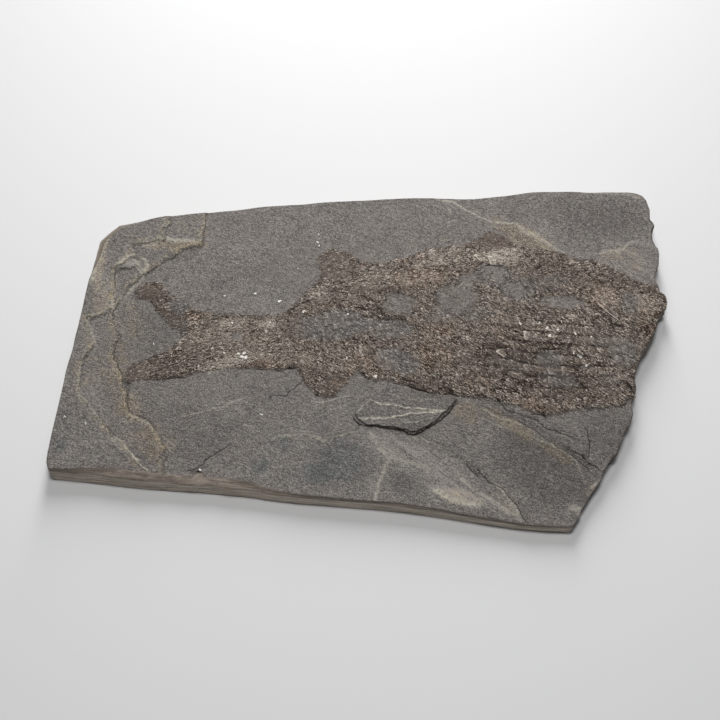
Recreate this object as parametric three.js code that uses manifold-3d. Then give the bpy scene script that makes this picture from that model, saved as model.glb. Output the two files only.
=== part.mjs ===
// A fossil fish on a slab of dark laminated shale, 216 mm long.
//
// The slab is one stone: the fish is pressed flat into its top bed and can't be
// lifted out, so the whole specimen is one closed solid. It lies on its flat
// underside. Three sides are sawn or dressed, and the right-hand side is the rough
// break that cut off the fish's head.
//
// Frame, in millimetres: origin on the underside, at the middle of the bounding
// box. +X runs along the slab from the tail to the broken head end, +Y runs from
// the front edge to the back edge, and +Z is up, out of the fossil's bed.

import * as THREE from "three";
import { mergeVertices } from "three/addons/utils/BufferGeometryUtils.js";
import Module from "manifold-3d";

const wasm = await Module();
wasm.setup();

// ---------- driving dimensions ----------

const HALF_LENGTH = 108; // half the slab's extent along X
const HALF_DEPTH = 67; // half the slab's extent along Y
const BED = 8.6; // height of the bed that the fish lies in
const MARGIN_RISE = 1.0; // the outer layer left standing along the left edge
const LEDGE_RISE = 0.5; // the thin layer between that margin and the bed
const HEAD_RISE = 0.7; // the layer that carries the right half of the fish
const FISH_RISE = 0.8; // how far the pressed body stands above its bed
const FRONT_FALL = 2.2; // how much lower the bed is at the front right corner
const FLAKE_RISE = 0.9; // the leaf of stone left standing below the belly
const FLAKE_ROOT = 1.5; // how deep that leaf is rooted in the bed
const FLAKE_LIFT = 0.25; // how far its free right end has sprung up
const STEP_REACH = 2; // a step between two layers slopes over twice this width
const BODY_FLANK = 10; // how far in from its outline the body reaches full height
const SHOULDER = 6.4; // height at which the sides stand furthest out
const CHAMFER_TO = 9.6; // height at which the chamfers are measured
const GRID = 4; // spacing of the points that carry the top surface
const WELD = 1e-4; // points closer than this are one point
const SKIRT = 4; // how far that surface runs out past the sides, before it is cut
const CUT_TOP = 14; // top of the cutting block, clear of the highest bed

// ---------- the sides ----------

// Each side runs counter-clockwise seen from above. undercut is how far the foot
// of the side stands in from its shoulder, and chamfer is how far the top arris
// stands in at CHAMFER_TO.

const frontSide = {
  undercut: 0.7,
  chamfer: 0.3,
  points: [
    [-107, -47], [-89, -48.5], [-75, -49.5], [-65, -50], [-59.5, -50.6],
    [-56.5, -49], [-53.5, -51], [-38, -53], [-34, -54.5], [-20, -56.2],
    [-9, -57.2], [12, -59.6], [31, -62],
  ],
};

const frontRightSide = {
  undercut: 1.9,
  chamfer: 0.3,
  points: [
    [49, -65.4], [60, -66.8],
  ],
};

const brokenSide = {
  undercut: 1.2,
  chamfer: 0.8,
  points: [
    [68, -HALF_DEPTH], [71.5, -61.5], [74.5, -56.5], [77.5, -53], [79.5, -50],
    [81, -46], [85.5, -40], [87.5, -36.5], [89, -32], [91, -29],
    [92, -25.5], [91.5, -21.5], [93.5, -17.5], [94, -10], [96.5, -5.5],
    [99.5, -0.5], [102.5, 5], [104, 8.5], [105, 12], [107.4, 14],
    [HALF_LENGTH, 18], [106.4, 21], [105.7, 24.5], [104.6, 28.5], [106, 31.5],
    [107.3, 37], [107.4, 40.5], [106, 45], [106, 48.5], [107.4, 51.5],
    [105.8, 54], [106.2, 58], [105.2, 62.5], [103.5, 64.8], [101.5, 65.8],
  ],
};

const backSide = {
  undercut: 0.5,
  chamfer: 0.5,
  points: [
    [99, HALF_DEPTH], [78, 66.6], [63, 66.4], [52, 64.6], [41, 63.2],
    [29, 63.2], [18, 63.6], [7, 62.8], [-15, 61.4], [-38, 59.5],
    [-60, 56.6], [-74, 55],
  ],
};

const sawnCorner = {
  undercut: 0.2,
  chamfer: 2.2,
  points: [
    [-84, 53], [-89, 52], [-92, 51], [-94.5, 49], [-97, 46.2], [-98.6, 43],
  ],
};

const leftSide = {
  undercut: 0.4,
  chamfer: 0.8,
  points: [
    [-99.4, 37.5], [-100.7, 29], [-101.5, 19], [-103.2, 0.6], [-105, -11],
    [-106.2, -23], [-107.6, -36], [-HALF_LENGTH, -41], [-107.8, -45],
  ],
};

const sides = [
  frontSide,
  frontRightSide,
  brokenSide,
  backSide,
  sawnCorner,
  leftSide,
];

// ---------- outlines on the bed ----------

// The margin layer stands along the whole left edge and steps down to the right.
const marginLoop = [
  [-120, 70], [-74, 60], [-76, 47], [-86, 42.5], [-84, 37], [-91, 32],
  [-90, 20], [-98, 12], [-96, 0], [-100, -10], [-99, -19], [-91, -29],
  [-82, -39], [-72, -50], [-72, -60], [-120, -60],
];

// A thinner layer lies inside it, down to the hollow that holds the tail.
const ledgeLoop = [
  [-120, 70], [-60, 60], [-61, 42], [-75, 35], [-86, 23], [-91, 13],
  [-88, -4], [-83.5, -13], [-82, -25], [-73.5, -30], [-68, -38], [-66, -60],
  [-120, -60],
];

// The head end lies on a layer whose curved edge crosses the lower right corner.
// It thins out to nothing between HEAD_FROM and HEAD_FULL along the slab.
const HEAD_FROM = 15;
const HEAD_FULL = 60;
const headLoop = [
  [30, -19], [45, -24], [54, -29], [62, -35], [68, -40.5], [74, -46],
  [80, -56], [120, -56], [120, 44], [97, 43], [84, 38], [30, 20],
];

// The body, without its fins: the taper at the left is the root of the tail.
const bodyLoop = [
  [-70, 8], [-60, 14], [-30, 14], [-16, 30], [2, 35], [16, 38], [31, 41],
  [57, 42], [85, 34], [104, 26], [112, 17], [100, 3], [93, -20], [80, -24],
  [61, -28], [46, -22], [24, -18], [0, -13], [-24, -9], [-60, -9], [-66, -2],
];

// The leaf of stone that stands just below the belly.
const flakeLoop = [
  [-4.5, -26], [0.5, -21], [8, -15], [17, -17.5], [30, -19.5], [30.5, -21],
  [26, -26.5], [20, -31.5], [15, -33], [9, -31.5], [0.5, -31], [-2.5, -29],
];

// The bed falls away towards the front right corner, from these two lines on.
const FALL_FROM = { x: 0, front: 20 };
const FALL_FULL = { x: 70, front: 66 };

// ---------- helpers ----------

const smoothstep = THREE.MathUtils.smoothstep;

// Distance from a point to the nearest edge of a loop, positive inside it.
function depthInside(loop, x, y) {
  let nearest = Infinity;
  let inside = false;
  loop.forEach(([bx, by], i) => {
    const [ax, ay] = loop[(i + loop.length - 1) % loop.length];
    const ex = bx - ax;
    const ey = by - ay;
    const along = ((x - ax) * ex + (y - ay) * ey) / (ex * ex + ey * ey);
    const t = THREE.MathUtils.clamp(along, 0, 1);
    nearest = Math.min(nearest, Math.hypot(x - ax - t * ex, y - ay - t * ey));
    if (ay > y !== by > y && x < ax + ((y - ay) / ey) * ex) inside = !inside;
  });
  return inside ? nearest : -nearest;
}

// 0 outside a loop and 1 inside it, with a slope of one step's width between.
function layer(loop, x, y) {
  return smoothstep(depthInside(loop, x, y), -STEP_REACH, STEP_REACH);
}

function bedHeight(x, y) {
  const ledge = LEDGE_RISE * layer(ledgeLoop, x, y);
  const margin = (MARGIN_RISE - LEDGE_RISE) * layer(marginLoop, x, y);
  const headThickness = smoothstep(x, HEAD_FROM, HEAD_FULL);
  const head = HEAD_RISE * headThickness * layer(headLoop, x, y);
  const flank = smoothstep(depthInside(bodyLoop, x, y), -STEP_REACH, BODY_FLANK);
  const cornerAlong = smoothstep(x, FALL_FROM.x, FALL_FULL.x);
  const cornerAcross = smoothstep(-y, FALL_FROM.front, FALL_FULL.front);
  const fall = FRONT_FALL * cornerAlong * cornerAcross;
  return BED + ledge + margin + head + FISH_RISE * flank - fall;
}

// A three.js geometry as a solid that can be cut and joined.
function toSolid(geometry) {
  const bare = geometry.clone();
  bare.deleteAttribute("normal");
  bare.deleteAttribute("uv");
  const merged = mergeVertices(bare, WELD);
  return new wasm.Manifold(
    new wasm.Mesh({
      numProp: 3,
      vertProperties: merged.attributes.position.array,
      triVerts: new Uint32Array(merged.index.array),
    }),
  );
}

function toGeometry(solid) {
  const mesh = solid.getMesh();
  const geometry = new THREE.BufferGeometry();
  geometry.setAttribute(
    "position",
    new THREE.BufferAttribute(mesh.vertProperties, 3),
  );
  geometry.setIndex(new THREE.BufferAttribute(mesh.triVerts, 1));
  geometry.computeVertexNormals();
  return geometry;
}

// ---------- the block between the four sides ----------

// The outline's corners, each with the direction that leads in from it.
function outlineCorners() {
  const corners = sides.flatMap(({ points, undercut, chamfer }) =>
    points.map(([x, y]) => ({ x, y, undercut, chamfer })),
  );
  corners.forEach((corner, i) => {
    const before = corners[(i + corners.length - 1) % corners.length];
    const after = corners[(i + 1) % corners.length];
    const inward = new THREE.Vector2(before.y - after.y, after.x - before.x);
    corner.inward = inward.normalize();
  });
  return corners;
}

// One level of the block: the outline moved in by a distance of its own per corner.
function level(corners, z, inset) {
  return corners.map((corner) => [
    corner.x + corner.inward.x * inset(corner),
    corner.y + corner.inward.y * inset(corner),
    z,
  ]);
}

function sideBlock() {
  const corners = outlineCorners();
  const chamferSlope = (CUT_TOP - SHOULDER) / (CHAMFER_TO - SHOULDER);
  const levels = [
    level(corners, 0, (c) => c.undercut),
    level(corners, SHOULDER, () => 0),
    level(corners, CUT_TOP, (c) => c.chamfer * chamferSlope),
  ];
  const n = corners.length;
  const index = [];
  for (let k = 0; k + 1 < levels.length; k += 1) {
    for (let i = 0; i < n; i += 1) {
      const a = k * n + i;
      const b = k * n + ((i + 1) % n);
      index.push(a, b, b + n, a, b + n, a + n);
    }
  }
  const cap = (points, base, flip) => {
    const flat = points.map(([x, y]) => new THREE.Vector2(x, y));
    for (const [a, b, c] of THREE.ShapeUtils.triangulateShape(flat, [])) {
      index.push(base + a, base + (flip ? c : b), base + (flip ? b : c));
    }
  };
  cap(levels[0], 0, true);
  cap(levels[levels.length - 1], (levels.length - 1) * n, false);
  const geometry = new THREE.BufferGeometry();
  geometry.setAttribute(
    "position",
    new THREE.Float32BufferAttribute(levels.flat(2), 3),
  );
  geometry.setIndex(index);
  return toSolid(geometry);
}

// ---------- the layered ground under the bed surface ----------

// A box whose top points are raised to the bed, wider than the slab all round.
function bedBlock() {
  const width = 2 * (HALF_LENGTH + SKIRT);
  const depth = 2 * (HALF_DEPTH + SKIRT);
  const nx = Math.round(width / GRID);
  const ny = Math.round(depth / GRID);
  const box = new THREE.BoxGeometry(width, depth, 2 * BED, nx, ny, 1);
  const position = box.attributes.position;
  for (let i = 0; i < position.count; i += 1) {
    const above = position.getZ(i) > 0;
    const z = above ? bedHeight(position.getX(i), position.getY(i)) : -BED;
    position.setZ(i, z);
  }
  return toSolid(box);
}

// ---------- the flake ----------

// A low prism of the flake's outline, rooted in the bed, its right end sprung up.
function flakeSolid() {
  const shape = new THREE.Shape(flakeLoop.map(([x, y]) => new THREE.Vector2(x, y)));
  const geometry = new THREE.ExtrudeGeometry(shape, {
    depth: FLAKE_ROOT + FLAKE_RISE,
    bevelEnabled: false,
  });
  geometry.translate(0, 0, BED - FLAKE_ROOT);
  const reach = Math.max(...flakeLoop.map(([x]) => x));
  const position = geometry.attributes.position;
  for (let i = 0; i < position.count; i += 1) {
    const spring = FLAKE_LIFT * smoothstep(position.getX(i), 0, reach);
    if (position.getZ(i) > BED) position.setZ(i, position.getZ(i) + spring);
  }
  return toSolid(geometry);
}

// ---------- the specimen ----------

function slab() {
  const stone = bedBlock().intersect(sideBlock()).add(flakeSolid());
  const mesh = new THREE.Mesh(
    toGeometry(stone),
    new THREE.MeshStandardMaterial({
      color: 0x66625e,
      roughness: 0.9,
      metalness: 0,
    }),
  );
  mesh.name = "slab";
  return mesh;
}

const specimen = new THREE.Group();
specimen.name = "fossil_fish_slab";
specimen.add(slab());

export default specimen;
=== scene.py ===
# %% [markdown]
# # A fossil fish on a slab of shale
#
# This lesson builds one museum-drawer specimen: a flat slab of dark shale, a little longer than a
# hand, with an enamel-scaled fish pressed into its top bed. The stone comes first, then its finishes,
# then the scales, fin rays and bones one small plate at a time, and last the light and the camera.
#
# Lengths are written in millimetres, because that is how a preparator would measure the slab, and
# they are turned into Blender's metres only when a mesh is made.

# %% Opening the measured frame
import math

import bpy
import numpy as np
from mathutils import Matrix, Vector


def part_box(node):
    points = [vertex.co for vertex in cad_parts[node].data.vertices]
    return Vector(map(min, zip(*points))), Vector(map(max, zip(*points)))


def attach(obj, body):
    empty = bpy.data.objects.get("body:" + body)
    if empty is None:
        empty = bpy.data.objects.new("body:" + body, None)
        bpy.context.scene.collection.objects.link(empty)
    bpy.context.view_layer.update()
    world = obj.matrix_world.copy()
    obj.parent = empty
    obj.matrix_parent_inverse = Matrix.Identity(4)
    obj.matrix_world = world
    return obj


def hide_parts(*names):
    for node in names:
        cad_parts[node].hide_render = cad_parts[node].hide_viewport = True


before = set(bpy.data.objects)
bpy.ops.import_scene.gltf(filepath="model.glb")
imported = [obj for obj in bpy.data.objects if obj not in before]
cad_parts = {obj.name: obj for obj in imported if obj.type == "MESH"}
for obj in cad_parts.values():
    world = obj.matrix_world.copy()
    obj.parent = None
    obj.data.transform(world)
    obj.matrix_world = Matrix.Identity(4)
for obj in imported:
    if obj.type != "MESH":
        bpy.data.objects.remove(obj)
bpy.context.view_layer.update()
MM = 0.001
slab_low, slab_high = (np.array(corner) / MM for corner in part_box("slab"))
CEILING = float(slab_high[2])
print("slab in mm:", np.round(slab_high - slab_low, 1), "top at", round(CEILING, 2))

# %% [markdown]
# ## Random numbers that look like stone
#
# Stone is never smooth, and every bump on it has smaller bumps. A noise function gives that: a table
# of random heights is blended smoothly from point to point, and several such tables are added, each
# half as big and half as strong as the last. Blender has its own noise textures, but here the mesh
# itself needs the hills, so they are worked out with numpy. Each has a fixed seed, so that the slab is
# the same stone every time.

# %% Hills and grain
HEIGHTS = 128


def hills(x, y, size, seed):
    """Smooth random hills about `size` mm across, from -1 to 1."""
    table = np.random.default_rng(seed).uniform(-1, 1, (HEIGHTS, HEIGHTS))
    gx, gy = x / size + HEIGHTS / 2, y / size + HEIGHTS / 2
    ix, iy = np.floor(gx).astype(int), np.floor(gy).astype(int)
    fx, fy = gx - ix, gy - iy
    sx, sy = fx * fx * (3 - 2 * fx), fy * fy * (3 - 2 * fy)
    west, east, south, north = ix % HEIGHTS, (ix + 1) % HEIGHTS, iy % HEIGHTS, (iy + 1) % HEIGHTS
    near = table[west, south] * (1 - sx) + table[east, south] * sx
    far = table[west, north] * (1 - sx) + table[east, north] * sx
    return near * (1 - sy) + far * sy


def rough_hills(x, y, size, octaves, seed):
    """Hills with smaller hills on them."""
    total, weight = np.zeros_like(x), 1.0
    for k in range(octaves):
        turn = 0.7 + 1.3 * k
        u = x * math.cos(turn) + y * math.sin(turn)
        v = y * math.cos(turn) - x * math.sin(turn)
        total += weight * hills(u, v, size, seed + k)
        size, weight = size * 0.5, weight * 0.5
    return total


def ease(value, low, high):
    """0 below low, 1 above high, and a soft ramp between."""
    t = np.clip((value - low) / (high - low), 0, 1)
    return t * t * (3 - 2 * t)


print("hills at the origin:", np.round(rough_hills(np.zeros(1), np.zeros(1), 8, 4, 1), 3))

# %% [markdown]
# ## Knowing how far a point is from a line
#
# Nearly everything on the bed is drawn with lines: the edges of broken layers, cracks, scratches and
# the outline of the fish. So the most useful helper tells, for every point of the stone, how far away
# the nearest line is and on which side. A signed distance stays straight as it crosses the line, and
# that is what lets a coarse mesh carry a hairline crack: the shader draws the line where the distance
# passes zero, far finer than the mesh's own squares.

# %% Distances to loops and lines
def across_line(x, y, line, closed=False):
    """For each point: signed distance to the line, positive on its left, and the place along it."""
    points = np.array(line + line[:1] if closed else line, float)
    steps = np.hypot(*np.diff(points, axis=0).T)
    starts = np.concatenate([[0], np.cumsum(steps)])
    nearest = np.full(x.shape, 1e9)
    side = np.zeros(x.shape)
    along = np.zeros(x.shape)
    for (ax, ay), (bx, by), step, start in zip(points[:-1], points[1:], steps, starts[:-1]):
        ex, ey = (bx - ax) / step, (by - ay) / step
        t = np.clip((x - ax) * ex + (y - ay) * ey, 0, step)
        dx, dy = x - ax - t * ex, y - ay - t * ey
        distance = np.hypot(dx, dy)
        closer = distance < nearest
        nearest = np.where(closer, distance, nearest)
        side = np.where(closer, np.sign(ex * dy - ey * dx), side)
        along = np.where(closer, start + t, along)
    return nearest * np.where(side == 0, 1, side), along, starts[-1]


def inside(x, y, loop):
    """True for the points inside a closed loop."""
    found = np.zeros(x.shape, bool)
    for (ax, ay), (bx, by) in zip(loop, loop[1:] + loop[:1]):
        crosses = (ay > y) != (by > y)
        reach = ax + (y - ay) / ((by - ay) or 1e-9) * (bx - ax)
        found ^= crosses & (x < reach)
    return found


def depth_inside(x, y, loop):
    """Distance to a closed loop in mm, positive inside it."""
    distance = np.abs(across_line(x, y, loop, closed=True)[0])
    return np.where(inside(x, y, loop), distance, -distance)


def blob(x, y, centre, radii, turn=0.0):
    """A soft oval: 1 at its centre, 0 at its rim and beyond."""
    dx, dy = x - centre[0], y - centre[1]
    c, s = math.cos(math.radians(turn)), math.sin(math.radians(turn))
    r = np.hypot((dx * c + dy * s) / radii[0], (dy * c - dx * s) / radii[1])
    return 1 - ease(r, 0.35, 1.0)


UNIT_SQUARE = [(0, 0), (1, 0), (1, 1), (0, 1)]
print("depth in the middle of a square:", depth_inside(np.array([0.5]), np.array([0.5]), UNIT_SQUARE))

# %% [markdown]
# ## The outline of the slab
#
# The front, back and left sides were sawn or dressed, so they are nearly straight, and the far left
# corner is cut off. The right side is where the rock broke, right at the fish's snout. Each side is a
# short list of points in millimetres, read from corner to corner. The dressed sides are smoothed after
# that, and the break isn't, because smoothing would round off its teeth.

# %% Four sides
FRONT = [
    (-107, -47.4), (-98, -48.4), (-89, -49.4), (-81, -50.5), (-70, -51.6), (-58.5, -52.4),
    (-50, -53.1), (-44, -53.9), (-38.5, -54.4), (-34.5, -55.1), (-23.5, -56.4), (-9, -57.6),
    (2, -58.5), (12, -59.6), (25.5, -61.6), (43, -64.8), (50, -65.9), (60, -66.9), (68, -67),
]
BREAK = [
    (68, -67), (71.4, -62.6), (71.4, -61.6), (73.5, -58.4), (76.6, -54), (79, -51), (80, -48.5),
    (81.2, -46), (83, -43), (84.6, -42), (85.1, -41), (85.7, -39.4), (87.5, -36.3), (88.3, -33.8),
    (89, -32), (90, -31.3), (91.1, -28.8), (91.8, -26.2), (91.5, -22.6), (93.3, -19), (93.9, -16.7),
    (93.6, -13.5), (94.4, -9.5), (95.7, -7), (97, -4), (99.2, -1), (100.3, 1.7), (102, 3.8),
    (103, 7), (104.6, 12.2), (106, 13.6), (107.4, 14.4), (108, 18), (107.6, 20.2), (106.2, 21.5),
    (106, 24), (104.9, 27.5), (105.7, 31), (106.8, 33), (107.5, 38), (107.4, 40.5), (106, 45),
    (106, 48.5), (107.4, 51.5), (105.8, 54), (106.2, 58), (105.2, 62.5), (103.5, 64.8), (101.5, 65.8),
]
BACK = [
    (-91.6, 51.4), (-89, 52), (-84, 53), (-74, 55), (-60, 56.6), (-38, 59.5), (-15, 61.4), (7, 62.8),
    (18, 63.6), (29, 63.2), (41, 63.2), (52, 64.6), (63, 66.4), (78, 66.6), (99, 67), (101.5, 65.8),
]
LEFT = [
    (-107, -47.4), (-107.8, -45), (-108, -41), (-107.6, -36), (-106.2, -23), (-105, -11),
    (-103.2, 0.6), (-101.3, 19), (-100.2, 29), (-98.9, 38), (-98, 44.4), (-95, 47.9), (-91.6, 51.4),
]
COLUMNS, ROWS = 344, 212


def walk(side, count):
    """`count` + 1 evenly spaced points along a side."""
    points = np.array(side, float)
    starts = np.concatenate([[0], np.cumsum(np.hypot(*np.diff(points, axis=0).T))])
    places = np.linspace(0, starts[-1], count + 1)
    return np.stack([np.interp(places, starts, points[:, k]) for k in (0, 1)], 1)


def soften(path, passes):
    """A path with its kinks eased, its two ends kept."""
    for _ in range(passes):
        path[1:-1] = (path[:-2] + 2 * path[1:-1] + path[2:]) / 4
    return path


front = soften(walk(FRONT, COLUMNS), 3)
back = soften(walk(BACK, COLUMNS), 8)
left = soften(walk(LEFT, ROWS), 3)
broken = walk(BREAK, ROWS)
rim = np.concatenate([front[:-1], broken[:-1], back[:0:-1], left[:0:-1]])
rim_length = np.concatenate([[0], np.cumsum(np.hypot(*np.diff(rim, axis=0).T))])
print("points round the rim:", len(rim), "length in mm:", round(float(rim_length[-1]), 1))

# %% [markdown]
# ## What shows where
#
# The broken side is a different surface from the dressed ones, so each point of the rim keeps a
# number for how broken it is, how far its foot is cut under, and how wide the worn bevel at its top
# is. The bevel is widest along a shelf at the front left, where the edge has split away, and at the
# far left corner. The numbers are eased along the rim, because no real side changes at a point.

# %% Character of the rim
def eased_round(values, width):
    """Values round a closed rim, averaged over a window of `width` points."""
    window = np.ones(width) / width
    ring = np.concatenate([values[-width:], values, values[:width]])
    return np.convolve(ring, window, "same")[width:-width]


EASED_OVER = 9
rim_x, rim_y = rim.T
is_break = np.zeros(len(rim))
is_break[COLUMNS + 3:COLUMNS + ROWS - 3] = 1
is_break = eased_round(is_break, EASED_OVER)
is_front = np.zeros(len(rim))
is_front[:COLUMNS] = 1
is_front = eased_round(is_front, EASED_OVER)
corner_bevel = blob(rim_x, rim_y, (-97, 47), (22, 22))
far_back_bevel = blob(rim_x, rim_y, (92, 68), (16, 8))
bevel = 0.35 + 2.1 * corner_bevel + 0.7 * far_back_bevel + 0.5 * is_break
front_shelf = blob(rim_x, rim_y, (-64, -52), (48, 14))
notch = blob(rim_x, rim_y, (-56.5, -52.5), (2.4, 3))
bevel = bevel + 2.9 * front_shelf + 1.4 * notch
bevel = bevel + 0.2 * hills(rim_length, rim_length * 0, 6, 31)
low_corner = ease(rim_x, 20, 60) * is_front
undercut = 0.25 + 0.6 * low_corner + 0.5 * is_break
ahead = np.roll(rim, -6, 0) - np.roll(rim, 6, 0)
inward = np.stack([-ahead[:, 1], ahead[:, 0]], 1)
inward = inward / np.hypot(*inward.T)[:, None]
print("widest bevel in mm:", round(float(bevel.max()), 2))

# %% [markdown]
# ## Layers on the bed
#
# Shale splits into leaves, and this slab was split more than once: an outer margin still stands along
# the left edge, a thinner ledge lies inside it, and the head of the fish lies on a leaf whose curved
# edge crosses the lower right. Two more leaves have come away, at the front and at the far right. Each
# layer is a loop, and the height of the bed is the sum of the layers that a point lies on. The loops
# wander by half a millimetre or so, as broken stone does.

# %% Loops of the layers
BED = 8.6
MARGIN = [
    (-120, 70), (-73.5, 60), (-73.5, 51), (-75.5, 47), (-74, 44), (-85.5, 42.5), (-84, 37),
    (-86, 36.5), (-91, 31), (-90, 22), (-91, 15), (-94.5, 12.5), (-99, 11), (-98, 7), (-96, 0),
    (-99, -5), (-100, -12), (-99.5, -19), (-96, -22), (-91, -28.5), (-86, -34.5), (-80, -41),
    (-72, -49.5), (-70, -60), (-120, -60),
]
LEDGE = [
    (-120, 70), (-59, 60), (-60, 42), (-66, 40), (-75, 34.5), (-80.5, 29), (-85, 24), (-87, 20),
    (-91, 14), (-89.5, 8), (-88, 2.5), (-88, -5.5), (-84, -13), (-82.5, -20), (-82, -25.5),
    (-77, -28), (-73.5, -30.5), (-71, -34), (-68.5, -38.5), (-66, -60), (-120, -60),
]
HEAD_LEAF = [
    (24, -16), (40, -21.5), (46, -23.5), (50, -27), (54, -29.5), (59.5, -32.5), (64, -36),
    (69.5, -41), (74.5, -45.5), (80, -55), (120, -56), (120, 44), (106, 41), (102, 43), (97, 43.5),
    (93.5, 40.5), (84, 38), (60, 30), (24, 20),
]
THIN_LEAF = [
    (30, -18), (46, -21), (48.5, -25), (52.5, -26.5), (59.5, -30.5), (64.5, -32.5), (71.5, -35.5),
    (76, -38), (79, -47), (86, -56), (120, -56), (120, 30), (60, 20),
]
FRONT_LEAF = [
    (-38, -58), (-36, -46), (-33.5, -36), (-30.5, -34.5), (-23, -33.5), (-15, -36), (-9, -34.5),
    (-5, -32), (0.5, -31.5), (16, -33), (27, -39), (36, -46), (44.5, -53), (50, -58.5), (53, -70),
]
BACK_LEAF = [
    (26.5, 70), (26.5, 63), (31.5, 61.5), (36, 58.5), (44, 54), (47.5, 52), (55.5, 52.5),
    (58.5, 49.5), (64.5, 44.5), (71.5, 40), (84, 37.5), (93.5, 40), (97, 43.5), (102, 42.5),
    (120, 40), (120, 80),
]
LAYERS = [
    # loop, height of its step, width of the step, and the x over which it fades in
    (LEDGE, 0.5, 0.9, None), (MARGIN, 0.5, 0.8, None),
    (HEAD_LEAF, 0.45, 0.7, (15, 45)), (THIN_LEAF, 0.25, 0.6, (20, 50)),
    (FRONT_LEAF, -0.35, 1.2, None), (BACK_LEAF, -0.3, 1.5, None),
]


WANDER, WANDER_SIZE = 0.6, 5


def wandering(x, y):
    """Where each point would be if every line on the bed ran perfectly true."""
    return (
        x + WANDER * rough_hills(x, y, WANDER_SIZE, 3, 101),
        y + WANDER * rough_hills(x, y, WANDER_SIZE, 3, 202),
    )


print("layers on the bed:", len(LAYERS))

# %% [markdown]
# ## The outline of the fish
#
# The fish lies with its tail to the left and its snout on the break. Its outline is a loop too, read
# from the upper lobe of the tail along the back to the snout and home along the belly. Inside it the
# crust of scales has fallen away in a few oval windows, where plain stone shows.

# %% Outline and bare windows
BODY = [
    (-83, 23), (-80, 26), (-75, 26.5), (-73, 23.5), (-70.5, 21.5), (-66.5, 20), (-63, 16.5),
    (-59.5, 14), (-53, 13.5), (-47, 13.5), (-43, 12.5), (-37.5, 12.5), (-30.5, 13), (-27.5, 15),
    (-21, 23.5), (-16.5, 28), (-18, 34.5), (-17, 38), (-14, 40.5), (-7, 40), (-2, 35.5), (2, 35),
    (7, 34.5), (11.5, 35.5), (15.5, 38), (21.5, 40), (30.5, 41.5), (34, 41.5), (46, 48.5),
    (57.5, 41.5), (65.5, 40), (70.5, 39), (85, 33.5), (98.5, 26), (104, 25), (106.5, 21),
    (110, 18), (107.5, 13), (102, 6.5), (97.5, -1.5), (94, -10), (92, -20), (87, -23.5),
    (80, -24), (73, -25.5), (66, -26.5), (61, -28.5), (56, -25.5), (45.5, -22), (39, -20.5),
    (30.5, -19.5), (23.5, -19), (17, -17), (11.5, -15), (6, -13.5), (1, -13.5), (-3.5, -10),
    (-7.5, -15), (-12, -20), (-17.5, -19), (-22, -13.5), (-24, -9), (-32.5, -8.5), (-40, -8.5),
    (-46, -8), (-52, -9.5), (-56.5, -10), (-60, -10), (-64.5, -11.5), (-71, -13.5), (-75.5, -13),
    (-82, -15), (-83.5, -14), (-83, -8), (-79, -5.5), (-75.5, -3.5), (-70.5, -2), (-67.5, 1.5),
    (-64.5, 5.5), (-68.5, 7.5), (-71.5, 10), (-75, 15), (-76, 18), (-82, 20),
]
BALD_WINDOWS = [
    ((12, 17), (9.5, 7.5), 0), ((32, 19.5), (12, 10), 20), ((37, 27), (6, 5), 0),
    ((46.5, 30), (8.5, 5.5), 0), ((69.5, 17.3), (13, 4.2), -4), ((-45.7, 3.6), (3.4, 2.8), 0),
    ((53, 22.5), (6, 5), 0),
]


def bald(x, y):
    """How bare of scale the fish is at each point, from 0 to 1."""
    bare = np.zeros_like(x)
    for centre, radii, turn in BALD_WINDOWS:
        bare = np.maximum(bare, blob(x, y, centre, radii, turn))
    return bare


print("points in the fish's outline:", len(BODY), "bare windows:", len(BALD_WINDOWS))
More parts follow.
